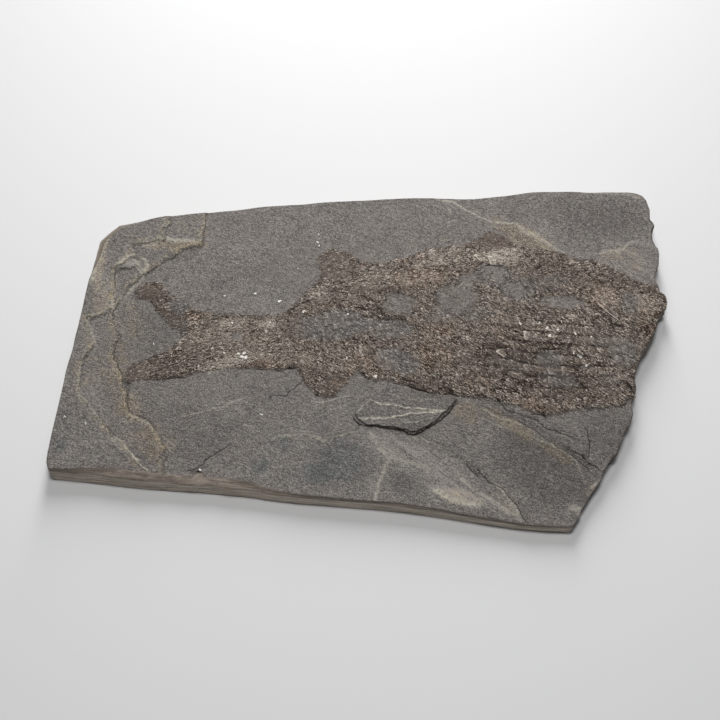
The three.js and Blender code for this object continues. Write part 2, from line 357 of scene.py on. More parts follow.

# %% [markdown]
# ## Lines on the bed
#
# Two kinds of line are left when the layers are added up. The dark ones are cracks, the lips of leaves,
# the gaps that opened in the crust of the fish and the shadows along the fish and under the flake: no
# light gets into them, so they are painted dark as painted shade. Each line is a few points in
# millimetres, then its width and its strength.

# %% Cracks and painted shadow lines
DARK_LINES = [
    # cracks in the bare stone at the front left and below the tail
    ([(-61.5, -47.5), (-58, -47), (-54.5, -43.5), (-50, -40.5), (-46, -38)], 0.45, 0.9),
    ([(-21, -13.5), (-26.5, -17.5), (-27.5, -20), (-33, -19.5), (-33.5, -21.5)], 0.35, 0.8),
    ([(-39, -21), (-40, -24.5), (-40.5, -28.5)], 0.4, 0.45),
    ([(-40.5, -27), (-44, -30.5), (-48, -33.5)], 0.3, 0.35),
    # edges of the leaves under the head and at the front right
    ([(44, -20.5), (48.5, -25.5), (52.5, -27), (56, -28.5), (59.5, -31), (64.5, -33), (71.5, -36)],
     0.4, 0.8),
    ([(39, -22.5), (46, -26.5), (50, -28), (54, -31), (58, -33), (61.5, -35.5), (66, -39.5),
      (72, -44.5), (76, -49)], 0.35, 0.7),
    ([(67.5, -38), (70, -40), (72.5, -41.5), (74.5, -44.5), (78.5, -47.5)], 0.5, 1.0),
    ([(74, -31), (75.5, -33), (75.5, -37.5), (74.5, -43)], 0.35, 0.9),
    ([(36, -46), (42.5, -52), (44.5, -53), (47.5, -56), (50, -58.5), (51.5, -62.5), (53, -65.5)],
     0.4, 0.75),
    # shadows along the belly, the tail and the back, and one on the front leaf
    ([(-3, -10), (-1, -11), (1, -13.5)], 0.35, 0.9),
    ([(1, -16), (2.5, -17)], 0.4, 0.9),
    ([(-39, -9), (-35, -9.1)], 0.55, 1.0),
    ([(-32.5, -9), (-29.5, -9.4)], 0.9, 1.0),
    ([(-28.5, -8.7), (-24, -9.1)], 0.75, 1.0),
    ([(-17, -11.8), (-14.5, -12.8)], 0.7, 1.0),
    ([(-12, -19.8), (-10, -19.8)], 0.4, 0.9),
    ([(-16, -37), (-11, -34.8), (-5, -32), (-0.5, -31.5)], 0.4, 0.4),
    ([(-79, -5.6), (-75, -3.8), (-70, -2)], 0.45, 0.8),
    ([(-83.5, -14), (-81, -15.5)], 0.5, 0.7),
    ([(-72, -13.2), (-68, -12.6), (-64, -11.6)], 0.45, 0.8),
    ([(-81, 20), (-77, 19), (-75.5, 16)], 0.4, 0.6),
    ([(-45.5, 12.1), (-41, 11.8)], 0.4, 0.9),
    ([(-39, 11.9), (-36, 12)], 0.35, 0.8),
    ([(-28.5, 13.8), (-26, 15.4), (-22.5, 18), (-19.5, 19.2)], 0.6, 1.0),
    ([(-24, 16.5), (-21, 22), (-17, 27)], 0.4, 0.4),
    # gaps in the crust, from the body to the snout, and along the root of the flake
    ([(-5, 15.8), (-2.5, 15.2), (0, 13.8)], 0.7, 1.0),
    ([(-1, 20.5), (3, 18), (6.5, 13), (9, 11.5), (14, 11)], 0.5, 0.8),
    ([(5, 11.5), (7, 10.8), (9.5, 10.4)], 0.6, 1.0),
    ([(14, 8.6), (18, 8.2)], 0.35, 0.8),
    ([(-20, 5.7), (-17.5, 5.3)], 0.6, 0.9),
    ([(-15, 8.5), (-12, 6.6), (-10, 6)], 0.35, 0.7),
    ([(-24, 9), (-19, 10.5), (-14, 13)], 0.3, 0.6),
    ([(-9, 3.8), (-6, 2.2), (-3, 2.5)], 0.3, 0.6),
    ([(11, -7.5), (13, -8.3)], 0.8, 0.9),
    ([(11, -12.6), (13.5, -13.2), (16, -14)], 0.6, 1.0),
    ([(13, -15.4), (17, -16.6), (20, -17.6), (23, -18.6)], 0.7, 1.0),
    ([(27.6, -16), (29, -17.5), (30, -19.4)], 0.6, 1.0),
    ([(20.5, -1.6), (24, -4)], 0.6, 0.9),
    ([(1, 34.6), (3, 34), (5, 33.4)], 0.35, 0.7),
    ([(9, 31), (12, 31.1)], 0.4, 0.8),
    ([(26.5, 31), (29, 31.3)], 0.5, 0.9),
    ([(42, 33.2), (46, 33.5), (50.5, 33)], 0.4, 0.9),
    ([(65, 21.5), (69, 22.9)], 0.4, 0.8),
    ([(53, 10.9), (55.5, 11.8), (58.5, 12)], 0.45, 1.0),
    ([(60, 10.8), (64, 11.3), (68, 10.8)], 0.4, 0.9),
    ([(41.5, -1.3), (45, -1.9), (48.5, -1.8)], 0.6, 0.9),
    ([(59.5, -1.3), (63, -1.9), (67, -1.7), (70, -2.3)], 0.75, 1.0),
    ([(40, -17), (46, -17.1), (52, -18.6), (56.5, -21)], 0.4, 1.0),
    ([(55, -26.6), (59.5, -27), (62, -29)], 0.5, 0.9),
    ([(71.5, -13.6), (74.5, -15.4), (76.6, -18.2)], 0.5, 1.0),
    ([(88.8, -15), (92, -18.6)], 0.9, 1.0),
    ([(81.3, 17.6), (84, 13.8), (88, 10)], 0.4, 1.0),
    ([(85, 9.6), (88, 7.5), (90.4, 6.5)], 0.7, 1.0),
    ([(97, 21), (100, 21), (104, 22.5)], 0.4, 0.7),
    ([(102.5, 12.2), (105, 13.2), (107, 13.8)], 0.7, 0.9),
    # the hollow in the far left corner, the back of the tail and the edge of the ledge
    ([(-90.7, 31.4), (-90.7, 27.8), (-90.3, 22.9)], 0.4, 0.6),
    ([(-90, 30.7), (-88.3, 31.7), (-85.9, 31.4), (-84.1, 32.4)], 1.1, 0.8),
    ([(-58, 13.8), (-52, 13.3), (-48, 13)], 0.35, 0.5),
    ([(-88, 2.5), (-88, -5.5), (-84, -13), (-82.5, -20), (-82, -25.5), (-77, -28), (-73.5, -30.5),
      (-71, -34)], 0.35, 0.5),
    ([(-86, -35.5), (-84, -37), (-82, -36)], 0.4, 0.6),
    # painted shadow round the flake and towards the front, in the front notch, and a few faint ones
    ([(24, -20), (28, -22), (34, -23)], 0.4, 0.6),
    ([(33, -44), (35, -47), (38, -50)], 0.5, 0.8),
    ([(-5, -26.6), (-3.4, -29), (-1.2, -31), (3.5, -31), (8, -31.6), (12, -32.4), (15, -33.6),
      (18, -33.3), (21, -31.4), (24.5, -28.8), (28, -25.6), (31, -21)], 0.6, 1.0),
    ([(22, -30), (30, -38), (33, -44)], 0.3, 0.35),
    ([(-58.4, -48.4), (-56.6, -47.8), (-55, -48.6)], 0.9, 1.0),
    ([(30, -33), (34, -34.5), (37, -34)], 0.3, 0.5), ([(34, -38), (36, -40.5)], 0.3, 0.5),
    ([(-77, -27), (-71, -33), (-66, -37), (-62, -41)], 0.35, 0.4),
    ([(60, 11), (58, 8), (61, 6)], 0.3, 0.4),
]
print("dark lines:", len(DARK_LINES))

# %% [markdown]
# The pale lines are bruises and scrapes, mostly along the edges of the leaves, where the stone was
# crushed to powder. They are a list of their own, so that a crack can run right beside a scrape.

# %% Scrapes
PALE_LINES = [
    ([(-64, -27), (-56.5, -25), (-49, -23.5), (-45.5, -21.5), (-42, -20)], 0.35, 0.5),
    ([(-33.5, -36), (-30.5, -34.5), (-23, -33.5), (-15, -36), (-9, -34.5), (-5, -32)], 0.7, 0.5),
    ([(0.5, -32.5), (3.5, -38.5), (7.5, -43.5), (5.5, -45.5), (3.5, -53)], 1.0, 0.5),
    ([(3.5, -38.5), (12, -43), (22, -47)], 1.2, 0.3),
    ([(14, -33), (16.5, -36)], 0.4, 0.6),
    ([(17, -34.5), (22.5, -37.5)], 0.4, 0.5),
    ([(-18.5, -22), (-6, -20)], 0.4, 0.6),
    ([(-10, -24.5), (-6, -22)], 0.35, 0.5),
    ([(26.5, 63), (31.5, 61.5), (36, 58.5), (44, 54), (47.5, 52)], 0.6, 0.75),
    ([(47.5, 52), (55.5, 52.5), (58.5, 49.5), (64.5, 44.5), (71.5, 40)], 0.6, 0.7),
    ([(30.5, 59.5), (32, 56.5)], 0.45, 0.8),
    ([(27, 50.5), (30, 52), (35, 53)], 0.35, 0.5),
    ([(56, 50.5), (61, 46), (68, 41)], 0.5, 0.5),
    ([(-99, -4), (-100, -12), (-99.5, -19), (-96, -22), (-91, -28.5)], 0.45, 0.6),
    ([(-86.5, -35), (-82, -38.5), (-80, -41), (-75.5, -45.5), (-72.5, -48.5)], 0.6, 0.9),
    ([(-90.5, 32.4), (-88.5, 34.6), (-86.3, 36.7), (-84.3, 38.5)], 1.1, 1.0),
    ([(-82.9, 31.7), (-81, 30.7), (-79.6, 32.8), (-81.4, 36), (-83.3, 36.7)], 0.9, 0.7),
    ([(-90.5, 30), (-90, 22), (-91, 15), (-94.5, 13), (-99, 11), (-98, 7), (-96, 0)], 0.6, 0.6),
    ([(-83, 42.5), (-78, 43), (-74.7, 44.7), (-69.7, 43.6), (-62.4, 43.6)], 1.5, 0.7),
    ([(-73.5, 52), (-75, 47), (-74, 44.5)], 0.5, 0.5),
    ([(84, 38), (93.5, 40.5), (97, 43.5), (102, 43)], 0.5, 0.4),
    ([(42, -51), (46, -55), (49.5, -59.5), (51, -65)], 1.0, 0.6),
    ([(67, -58.5), (73, -61)], 1.3, 0.4),
    ([(75, -53), (78, -50)], 0.8, 0.6),
    ([(-56, -10.4), (-50, -9), (-43, -6.5)], 0.7, 0.9),
    ([(38, -27), (46, -31), (52, -33.5), (58, -35.5), (63, -37.5), (66, -40), (70, -44),
      (72, -49)], 0.6, 0.25),
    ([(40, -24.5), (47, -28.5), (54, -31.5)], 0.5, 0.4),
    ([(22, -53), (26, -56), (31, -58), (38, -60)], 1.4, 0.8),
    ([(-99.6, 26), (-98.3, 33), (-97.2, 39), (-96.4, 44), (-93.5, 47.5), (-90, 50.5)], 1.6, 0.75),
    ([(-70, -49), (-60, -50.3), (-50, -51.2), (-38, -53.2), (-30, -55)], 1.0, 0.6),
    ([(80, 65.6), (90, 66), (99, 65.4), (103, 63)], 1.2, 0.4),
    ([(30, -49), (36, -54), (44, -59), (50, -63.5)], 0.9, 0.5),
    ([(4.2, -49), (3.6, -54), (2.6, -58.5)], 0.8, 0.7),
    ([(-98, 12), (-94, 13.5), (-90, 16)], 0.9, 0.7), ([(-98, 8), (-96.5, 3), (-95.5, -1)], 0.9, 0.7),
    ([(-86, 36), (-82.5, 33), (-81, 28), (-85, 22.5), (-89, 17)], 0.8, 0.5),
    ([(-82, -26), (-76, -30), (-70, -34), (-64, -39)], 0.6, 0.35),
]
print("pale lines:", len(PALE_LINES))

# %% [markdown]
# A finish can only read one distance per kind of line, so each point keeps the distance to the nearest
# one. Points more than a few millimetres from a line skip it, which saves most of the work, and every
# line fades out at its two ends.

# %% The nearest line to each point
LINE_REACH = 3.0
FAR_FROM_LINES = 9.0
END_FADE = 1.5


def nearest_lines(x, y, lines):
    """Width-scaled signed distance, plain distance and strength of the nearest line to each point."""
    across = np.full(x.shape, FAR_FROM_LINES)
    near = np.full(x.shape, FAR_FROM_LINES)
    strength = np.zeros(x.shape)
    for points, width, weight in lines:
        span = np.array(points, float)
        low, high = span.min(0) - LINE_REACH, span.max(0) + LINE_REACH
        close = np.flatnonzero((x > low[0]) & (x < high[0]) & (y > low[1]) & (y < high[1]))
        signed, along, length = across_line(x[close], y[close], points)
        better = np.abs(signed) < near[close]
        which = close[better]
        ends = np.minimum(along, length - along)[better]
        near[which] = np.abs(signed[better])
        across[which] = signed[better] / width
        strength[which] = weight * (0.25 + 0.75 * ease(ends, 0, END_FADE))
    return across, near, strength


one_place = nearest_lines(np.array([-1.0]), np.array([19.0]), DARK_LINES)
print("a place on the fish's back lies", round(float(one_place[1][0]), 2), "mm from a dark line")

# %% [markdown]
# ## The height of the bed
#
# Now the pieces come together in one function that gives the height of the stone at any point. It
# shapes the slab's own mesh, and it is asked again for every scale that is set down on the surface.
# The pressed body swells gently, its crust is rough where scales survive, each crack has a small
# groove, and the front right corner falls away.

# %% One function for the surface
CORNER_FALL = 2.2
CRACK_DEPTH = 0.28
SPARE_UNDER_CEILING = 0.05


def bed_height(x, y):
    """Height of the top surface in mm."""
    wx, wy = wandering(x, y)
    corner = ease(x, 0, 70) * ease(-y, 20, 66)
    fish = depth_inside(wx, wy, BODY)
    on_fish = ease(fish, -0.6, 0.8)
    z = np.full(x.shape, BED)
    for loop, height, width, fade in LAYERS:
        step = height * ease(depth_inside(wx, wy, loop), -width, width)
        z += step * ease(x, *fade) if fade else step
    z += 0.5 * ease(fish, -2, 12) - CORNER_FALL * corner
    z += on_fish * 0.18 * (1 - 0.8 * bald(x, y))
    crust = rough_hills(x * 0.8 + y * 0.4, y - x * 0.3, 2.2, 3, 40)
    z += 0.1 * crust * on_fish * (1 - 0.7 * bald(x, y))
    z += 0.07 * rough_hills(x, y, 9, 4, 50) + 0.035 * rough_hills(x, y, 2.4, 3, 60)
    z += 0.12 * rough_hills(x, y, 30, 3, 70)
    _, near, strength = nearest_lines(wx, wy, DARK_LINES)
    z -= CRACK_DEPTH * strength * np.exp(-(near / 0.55) ** 2)
    z -= 0.9 * blob(x, y, (-56.3, -50.5), (2.6, 2.2)) + 0.15 * blob(x, y, (-87, 30.5), (5, 3))
    return np.minimum(z, CEILING - SPARE_UNDER_CEILING)


probe = bed_height(np.array([-95.0, -60.0, 60.0, 60.0]), np.array([0.0, 40.0, 10.0, -60.0]))
print("margin, bed, head and front corner in mm:", np.round(probe, 2))

# %% [markdown]
# ## Skinning the slab
#
# The top is a grid stretched between the four sides (a Coons patch: the two pairs of opposite sides
# are blended and the corners counted once). The walls hang from its rim as rings of points, and near
# the foot each ring has half as many points as the one above, so that the flat underside doesn't
# need a fine grid. Everything is one closed skin.

# %% Grid, walls and underside
def stretch(low_side, high_side, left_side, right_side):
    """Grid of points between four sides, rows first."""
    columns, rows = len(low_side), len(left_side)
    u = np.linspace(0, 1, columns)[None, :, None]
    v = np.linspace(0, 1, rows)[:, None, None]
    across = low_side[None] * (1 - v) + high_side[None] * v
    up = left_side[:, None] * (1 - u) + right_side[:, None] * u
    corners = (
        low_side[0] * (1 - u) * (1 - v) + low_side[-1] * u * (1 - v)
        + high_side[0] * (1 - u) * v + high_side[-1] * u * v
    )
    return across + up - corners


def four_sides(ring, columns, rows):
    """A ring of rim points as its four sides, each with both its corners."""
    closed = np.concatenate([ring, ring[:1]])
    a, b, c = columns, columns + rows, 2 * columns + rows
    return closed[:a + 1], closed[b:c + 1][::-1], closed[c:][::-1], closed[a:b + 1]


def ring_of_grid(columns, rows):
    """Indices of a grid's rim, counter-clockwise from its first corner."""
    index = np.arange((columns + 1) * (rows + 1)).reshape(rows + 1, columns + 1)
    return np.concatenate([index[0, :-1], index[:-1, -1], index[-1, :0:-1], index[:0:-1, 0]])


def grid_quads(index):
    """Faces of a grid of indices, facing up."""
    corners = index[:-1, :-1], index[:-1, 1:], index[1:, 1:], index[1:, :-1]
    return np.stack([c.ravel() for c in corners], 1)


top_ring = rim + inward * bevel[:, None]
top_grid = stretch(*four_sides(top_ring, COLUMNS, ROWS)).reshape(-1, 2)
top_z = bed_height(top_grid[:, 0], top_grid[:, 1])
print("points on the bed:", len(top_grid), "heights from", round(float(top_z.min()), 2), "to",
      round(float(top_z.max()), 2))

# %% [markdown]
# The walls show how shale is made: hundreds of thin layers lying flat. On a dressed side they are
# faint ridges, and on the break each layer snapped at its own place. So the depth of the wall at a
# point depends mostly on its height, through a few layers of different toughness, and a little on the
# place along the side. The top fifth or so of the wall is its shoulder, which leans back by the bevel.

# %% Layered walls
WALL_RINGS = 13
SHOULDER_SHARE = 0.22
LAYER_SEED = 80
RIDGES = 0.35 + 1.0 * is_break + 0.5 * front_shelf


def layer_steps(along, z, seed):
    """How far each layer stands back, from 0 to 1, at a place along the rim and a height."""
    thick = hills(z * 9 + along * 0.05, along * 0.08, 5.5, seed)
    thin = hills(z * 20 + along * 0.1, along * 0.25, 7.0, seed + 1)
    chips = rough_hills(along, z * 2.5, 4.5, 3, seed + 2)
    return np.clip(0.5 + 0.35 * thick + 0.2 * thin + 0.3 * chips, 0, 1)


top_rim_index = ring_of_grid(COLUMNS, ROWS)
rim_top_z = top_z[top_rim_index]
wall_rings = []
for k in range(1, WALL_RINGS + 1):
    share = k / (WALL_RINGS + 1)
    z = rim_top_z * (1 - share ** 1.1)
    over = np.clip(1 - share / SHOULDER_SHARE, 0, 1)
    under = np.clip((share - SHOULDER_SHARE) / (1 - SHOULDER_SHARE), 0, 1)
    inset = bevel * over ** 1.4 + undercut * under ** 1.3
    depth = RIDGES * ease(share, 0.02, 0.18)
    inset = inset + depth * layer_steps(rim_length, z, LAYER_SEED)
    wall_rings.append(np.column_stack([rim + inward * inset[:, None], z]))
on_table = rim_length * 0
foot_inset = undercut + 0.35 * layer_steps(rim_length, on_table, LAYER_SEED) + is_break * 0.5
half_ring = np.column_stack([rim + inward * (foot_inset + 0.05)[:, None], on_table + 0.25])
foot_ring = np.column_stack([rim + inward * (foot_inset + 0.35)[:, None], on_table])
print("rings of wall points:", len(wall_rings) + 2)

# %% [markdown]
# The underside is never seen while the slab lies still, but it is a surface like the others: a bedding
# plane with shallow pits, and hollows where thin leaves came away. Nothing on it reaches below the
# table, and its rim lies flat, so that the slab can't rock. A grid a quarter as fine is enough.

# %% Underside
FOOT_COLUMNS, FOOT_ROWS = COLUMNS // 4, ROWS // 4
foot_grid = stretch(*four_sides(foot_ring[::4, :2], FOOT_COLUMNS, FOOT_ROWS)).reshape(-1, 2)
foot_x, foot_y = foot_grid.T
pits = np.clip(rough_hills(foot_x, foot_y, 22, 4, 90) - 0.15, 0, None)
flakes_off = ease(rough_hills(foot_x, foot_y, 34, 3, 95), 0.3, 0.36)
foot_z = 0.22 * pits + 0.3 * flakes_off
foot_rim_index = ring_of_grid(FOOT_COLUMNS, FOOT_ROWS)
foot_z[foot_rim_index] = 0
print("underside touches the table over", round(float((foot_z < 0.02).mean()) * 100), "% of its area")


# %% [markdown]
# Two rings join where one has twice the points of the other: each step of the coarse ring takes three
# triangles. With that, the whole skin can be listed as faces.

# %% Joining the skin
def band(upper, lower):
    """Quads between two rings with the same number of points."""
    return np.stack([lower, np.roll(lower, -1), np.roll(upper, -1), upper], 1)


def halving_band(upper, lower):
    """Triangles between a ring and a lower ring with half its points."""
    start, middle, end = upper[0::2], upper[1::2], np.roll(upper[0::2], -1)
    after = np.roll(lower, -1)
    fans = [(lower, middle, start), (lower, after, middle), (after, end, middle)]
    return np.concatenate([np.stack(f, 1) for f in fans])


rings = [top_rim_index]
vertices = [np.column_stack([top_grid, top_z])]
used = len(top_grid)
# the half ring keeps every second point, and the foot grid's rim every fourth
for ring in wall_rings + [half_ring[::2]]:
    rings.append(np.arange(used, used + len(ring)))
    vertices.append(ring)
    used += len(ring)
foot_index = np.arange(used, used + len(foot_grid)).reshape(FOOT_ROWS + 1, FOOT_COLUMNS + 1)
vertices.append(np.column_stack([foot_grid, foot_z]))
foot_ring_index = foot_index.ravel()[foot_rim_index]
top_faces = grid_quads(np.arange(len(top_grid)).reshape(ROWS + 1, COLUMNS + 1))
wall_faces = [band(a, b) for a, b in zip(rings[:WALL_RINGS], rings[1:WALL_RINGS + 1])]
wall_tris = [
    halving_band(rings[-2], rings[-1]),
    halving_band(rings[-1], foot_ring_index),
]
foot_faces = grid_quads(foot_index)[:, ::-1]
skin = np.concatenate(vertices)
print("points in the slab's skin:", len(skin))


# %% [markdown]
# A small workshop function turns points and faces into a Blender object. It takes each group of faces
# with the number of its finish, smooths the shading and stores any per-point numbers as attributes,
# which the finishes read later. It also lays a texture map, with the sides folded out flat below the
# top, for anyone who wants to bake the finishes.

# %% From numbers to an object
FACES_UP = 0.35
FACES_SIDEWAYS = 0.7


def lay_flat(mesh):
    """A texture map: faces that look up as seen from above, and below them a copy for all the others."""
    corners = np.empty(len(mesh.loops), np.int32)
    mesh.loops.foreach_get("vertex_index", corners)
    points = np.empty(3 * len(mesh.vertices), np.float32)
    mesh.vertices.foreach_get("co", points)
    facing = np.empty(3 * len(mesh.polygons), np.float32)
    mesh.polygons.foreach_get("normal", facing)
    sides = np.empty(len(mesh.polygons), np.int32)
    mesh.polygons.foreach_get("loop_total", sides)
    points = points.reshape(-1, 3)[corners]
    facing = np.repeat(facing.reshape(-1, 3), sides, 0)
    looks_up = facing[:, 2] > FACES_UP
    upright = np.abs(facing[:, 2]) < FACES_SIDEWAYS
    fold_out = (points[:, 2].max() - points[:, 2]) * upright * ~looks_up
    places = points[:, :2] + facing[:, :2] * fold_out[:, None]
    tall = float(np.ptp(places[:, 1])) + 2 * MM
    places[:, 1] -= tall * ~looks_up
    places -= places.min(0)
    layer = mesh.uv_layers.new(name="OFBake")
    layer.data.foreach_set("uv", (0.005 + 0.99 * places / places.max()).astype(np.float32).ravel())


def make_piece(name, points_mm, face_groups, numbers=()):
    """A mesh object from points in mm, groups of (faces, finish number), and named per-point numbers."""
    mesh = bpy.data.meshes.new(name)
    faces = [face for group, _ in face_groups for face in group.tolist()]
    mesh.from_pydata((points_mm * MM).tolist(), [], faces)
    finish_of = np.concatenate([np.full(len(group), finish) for group, finish in face_groups])
    mesh.polygons.foreach_set("material_index", finish_of.astype(np.int32))
    mesh.polygons.foreach_set("use_smooth", np.ones(len(faces), bool))
    for key, values in dict(numbers).items():
        layer = mesh.attributes.new(key, "FLOAT", "POINT")
        layer.data.foreach_set("value", np.asarray(values, np.float32))
    mesh.update()
    lay_flat(mesh)
    piece = bpy.data.objects.new(name, mesh)
    bpy.context.scene.collection.objects.link(piece)
    triangles = sum(len(p.vertices) - 2 for p in mesh.polygons)
    print(name, "has", triangles, "triangles")
    return piece


# %% [markdown]
# ## Numbers the finishes will need
#
# The shale isn't one colour. Iron has stained the edges of the leaves ochre, some patches are green
# with clay, and the bed is paler where it was rubbed. Those zones are soft ovals, each a centre, two
# radii, a turn in degrees and a strength. A strength below zero makes the bed darker.

# %% Zones of colour
OCHRE = [
    ((-84, 10), (8, 14), 0, 0.6), ((-87, -10), (7, 16), 0, 0.8), ((-82, -24), (7, 9), 0, 0.8),
    ((-74, -36), (12, 10), -35, 0.7), ((-70, 42), (16, 3), 0, 1.2), ((-86, 36), (6, 5), 0, 0.5),
    ((-97.5, 34), (4.5, 14), -3, 1.0), ((-94, 20), (7, 10), 0, 0.7), ((34, -26), (9, 7), 0, 0.8),
    ((50, -31), (17, 3.6), -38, 1.0), ((65, -41), (10, 3.2), -42, 0.9), ((58, 46), (18, 7), -30, 1.1),
    ((94, 36), (13, 9), 10, 0.6), ((30, -56), (13, 4), -16, 0.7), ((46, -58), (5, 7), 30, 0.6),
    ((-66, 50), (10, 6), 0, 0.4), ((30, 46), (12, 4), 10, 0.35), ((-60, 48), (6, 3), 0, 0.5),
    ((-96, -8), (6, 18), 0, 0.4), ((76, -54), (4, 4), 0, 0.5),
]
GREEN = [
    ((-29.5, -37), (7, 5), 0, 0.7), ((-36, -46), (4.5, 6), -20, 0.8), ((13, -50), (9, 7), 0, 0.4),
    ((-9, -43), (17, 13), 0, 0.75), ((-20, -49), (14, 6), 0, 0.5), ((13, -7), (9, 5), 0, 0.5),
    ((-104, -38), (4, 6), 0, 0.7), ((22, -56), (8, 3), -10, 0.4), ((45, 31), (5, 3), 0, 0.4),
]
RUBBED = [
    ((20, -45), (30, 9), -32, 0.8), ((-94, -40), (14, 8), 0, 0.25), ((88, 54), (22, 12), 0, -0.6),
    ((60, -47), (26, 15), -30, -1.0), ((82, -34), (12, 12), 0, -0.6), ((33, -26), (8, 7), 0, -0.3),
    ((-12, -27), (22, 6), 10, 0.15), ((96, 34), (14, 10), 0, 0.5), ((12, 18), (6, 4), 0, 0.1),
    ((-60, -33), (24, 14), 0, -0.35), ((-97.5, 34), (4.5, 14), -3, 0.9), ((-94, 21), (7, 10), 0, 0.4),
    ((-86.5, 34.5), (5, 4.5), 0, 1.3), ((31, -56), (14, 4), -16, 1.5), ((66, 46), (14, 5), -35, 0.4),
    ((-80, -8), (16, 30), 0, -0.2), ((-76, 7), (14, 12), 0, -0.3), ((44, -59), (8, 5), -45, 0.6),
    ((70, -60), (5, 3), -10, 1.2), ((76, -54), (3, 3), 0, 1.1), ((2, -54), (3, 7), 0, 0.5),
    ((-2, -31), (8, 3), 10, 0.5), ((12, -51.5), (6, 5), 0, -0.6), ((47, -31), (15, 6), -35, -0.5),
    ((-76, -42), (10, 7), 0, -0.35), ((-8, -44), (16, 10), 0, -0.25),
]


def zone(x, y, blobs):
    """The sum of soft ovals, each (centre, radii, turn, strength)."""
    return sum(weight * blob(x, y, centre, radii, turn) for centre, radii, turn, weight in blobs)


print("ovals of stain, clay and rubbing:", len(OCHRE), len(GREEN), len(RUBBED))

# %% [markdown]
# The fossil has zones too. Brown enamel is gone from parts of the mail, which leave their shape in grey
# stone. Other parts have weathered to tan, or turned rusty. The fins are brown velvet with hardly any
# relief, and in places the scales stand so steeply that hardly any light gets between them, so those
# places get a painted shade.

# %% Zones of the fossil
GREY_MAIL = [
    ((-12, 8), (19, 8), 5, 1.0), ((8, 7), (12, 6), 0, 0.8), ((11, -6), (11, 6.5), -25, 1.0),
    ((46, 29), (10, 8), 0, 0.8), ((54, 22), (9, 7), 0, 0.8), ((66, 26), (12, 6), 0, 0.5),
    ((64, -6), (7, 5), 0, 0.9), ((67, -14), (11, 5), -10, 0.6), ((90, -3), (7, 8), 0, 0.9),
    ((94, 17), (6, 6), 0, 0.7), ((-67, 16), (6, 4.5), -35, 1.0), ((-66, 7), (6, 6), 0, 0.5),
    ((84, -14), (8, 5), 0, 0.4), ((50, -8), (12, 8), 0, 0.35), ((36, 13), (14, 6), 0, 0.6),
    ((82, 1), (8, 5), 0, 0.4), ((24, 11), (8, 5), 0, 0.5), ((-48, 3), (8, 4), 0, 0.35),
]
TAN = [
    ((-47, 9.5), (7, 3), 0, 0.8), ((-35, 9), (6, 3.5), 0, 1.0), ((-49, -7), (11, 3.4), 14, 1.4),
    ((-30, -4), (16, 7), 0, 0.45), ((48, 37), (12, 4.5), 0, 1.2), ((28, 36.5), (17, 4.5), 12, 0.7),
    ((18, 28), (14, 5), 10, 0.5), ((62, 6), (10, 6), 0, 0.6), ((75, 6), (9, 5), 0, 0.4),
    ((-18, 21), (9, 4), 35, 0.5), ((56, -23), (9, 4), -10, 0.4), ((100, 17), (7, 6), 0, 0.5),
    ((86, 19), (6, 6), -40, 0.4), ((-54, 5), (14, 8), 0, 0.3), ((-78, -10), (7, 4), 10, 0.3),
    ((2, 28), (12, 6), 10, 0.3), ((-46, 2), (22, 10), 0, 0.3), ((-5, -7), (18, 6), 0, 0.2),
    ((-12, 33), (12, 8), 0, 0.3),
]
RUST = [
    ((20, 28), (15, 5), 10, 0.9), ((15, 36), (6, 3), 0, 0.6), ((-8, -15), (10, 6), 20, 0.4),
    ((57, -23.5), (9, 4), -10, 1.0), ((25, -4), (9, 7), 0, 0.7), ((84, 20), (8, 7), -40, 0.7),
    ((99, 7), (5, 4), 0, 0.8), ((101, 15), (6, 6), 0, 0.5), ((26, 6), (9, 5), 0, 0.6),
    ((-60, 12.5), (6, 2.5), 0, 0.7), ((-36, -7.5), (11, 3), 0, 0.8), ((38, -15), (7, 5), 0, 0.4),
    ((0, -7), (11, 5), 0, 0.4), ((48, 3), (12, 5), 0, 0.3),
]
VELVET = [
    ((-12, 33), (12, 9), 0, 1.1), ((45, 44), (14, 6), 0, 1.2), ((-10, -15), (12, 7), 0, 0.8),
    ((-78, 22), (8, 5), -20, 1.2), ((-71, 14), (7, 5), -45, 0.7), ((-80, -11), (7, 6), 20, 0.9),
    ((-74, -8), (9, 4), 0, 0.4), ((104, 23), (6, 4), 0, 0.6), ((-66, 9), (7, 6), 0, 0.5),
]
STEEP_SHADE = [
    ((48, -8), (18, 12), 0, 1.0), ((22, -15.5), (14, 4), -15, 1.0), ((68, -14), (18, 9), -10, 0.7),
    ((4, 13), (15, 4), -15, 0.8), ((86, 8), (7, 6), 0, 0.6), ((92, -16), (6, 6), 0, 0.8),
    ((60, -25), (10, 4), 0, 0.5), ((96, 8), (6, 4), 0, 0.5), ((66, 33), (10, 5), 0, 0.5),
    ((88, 27), (12, 4), -20, 0.5),
]
FOSSIL_ZONES = {"grey_mail": GREY_MAIL, "tan": TAN, "rust": RUST, "velvet": VELVET, "steep_shade": STEEP_SHADE}
print("ovals in the fossil's zones:", {name: len(blobs) for name, blobs in FOSSIL_ZONES.items()})

# %% [markdown]
# ## The grain of the fish
#
# The rows of scales run between the line of the back and the line of the belly. A point's share of the
# way from one to the other gives the row that it lies in, both for the painted shade in the gaps between
# the rows and for the real scales later. Along the back and the tail the scales lean the other way, and
# on the lower flank the rows stand out most.

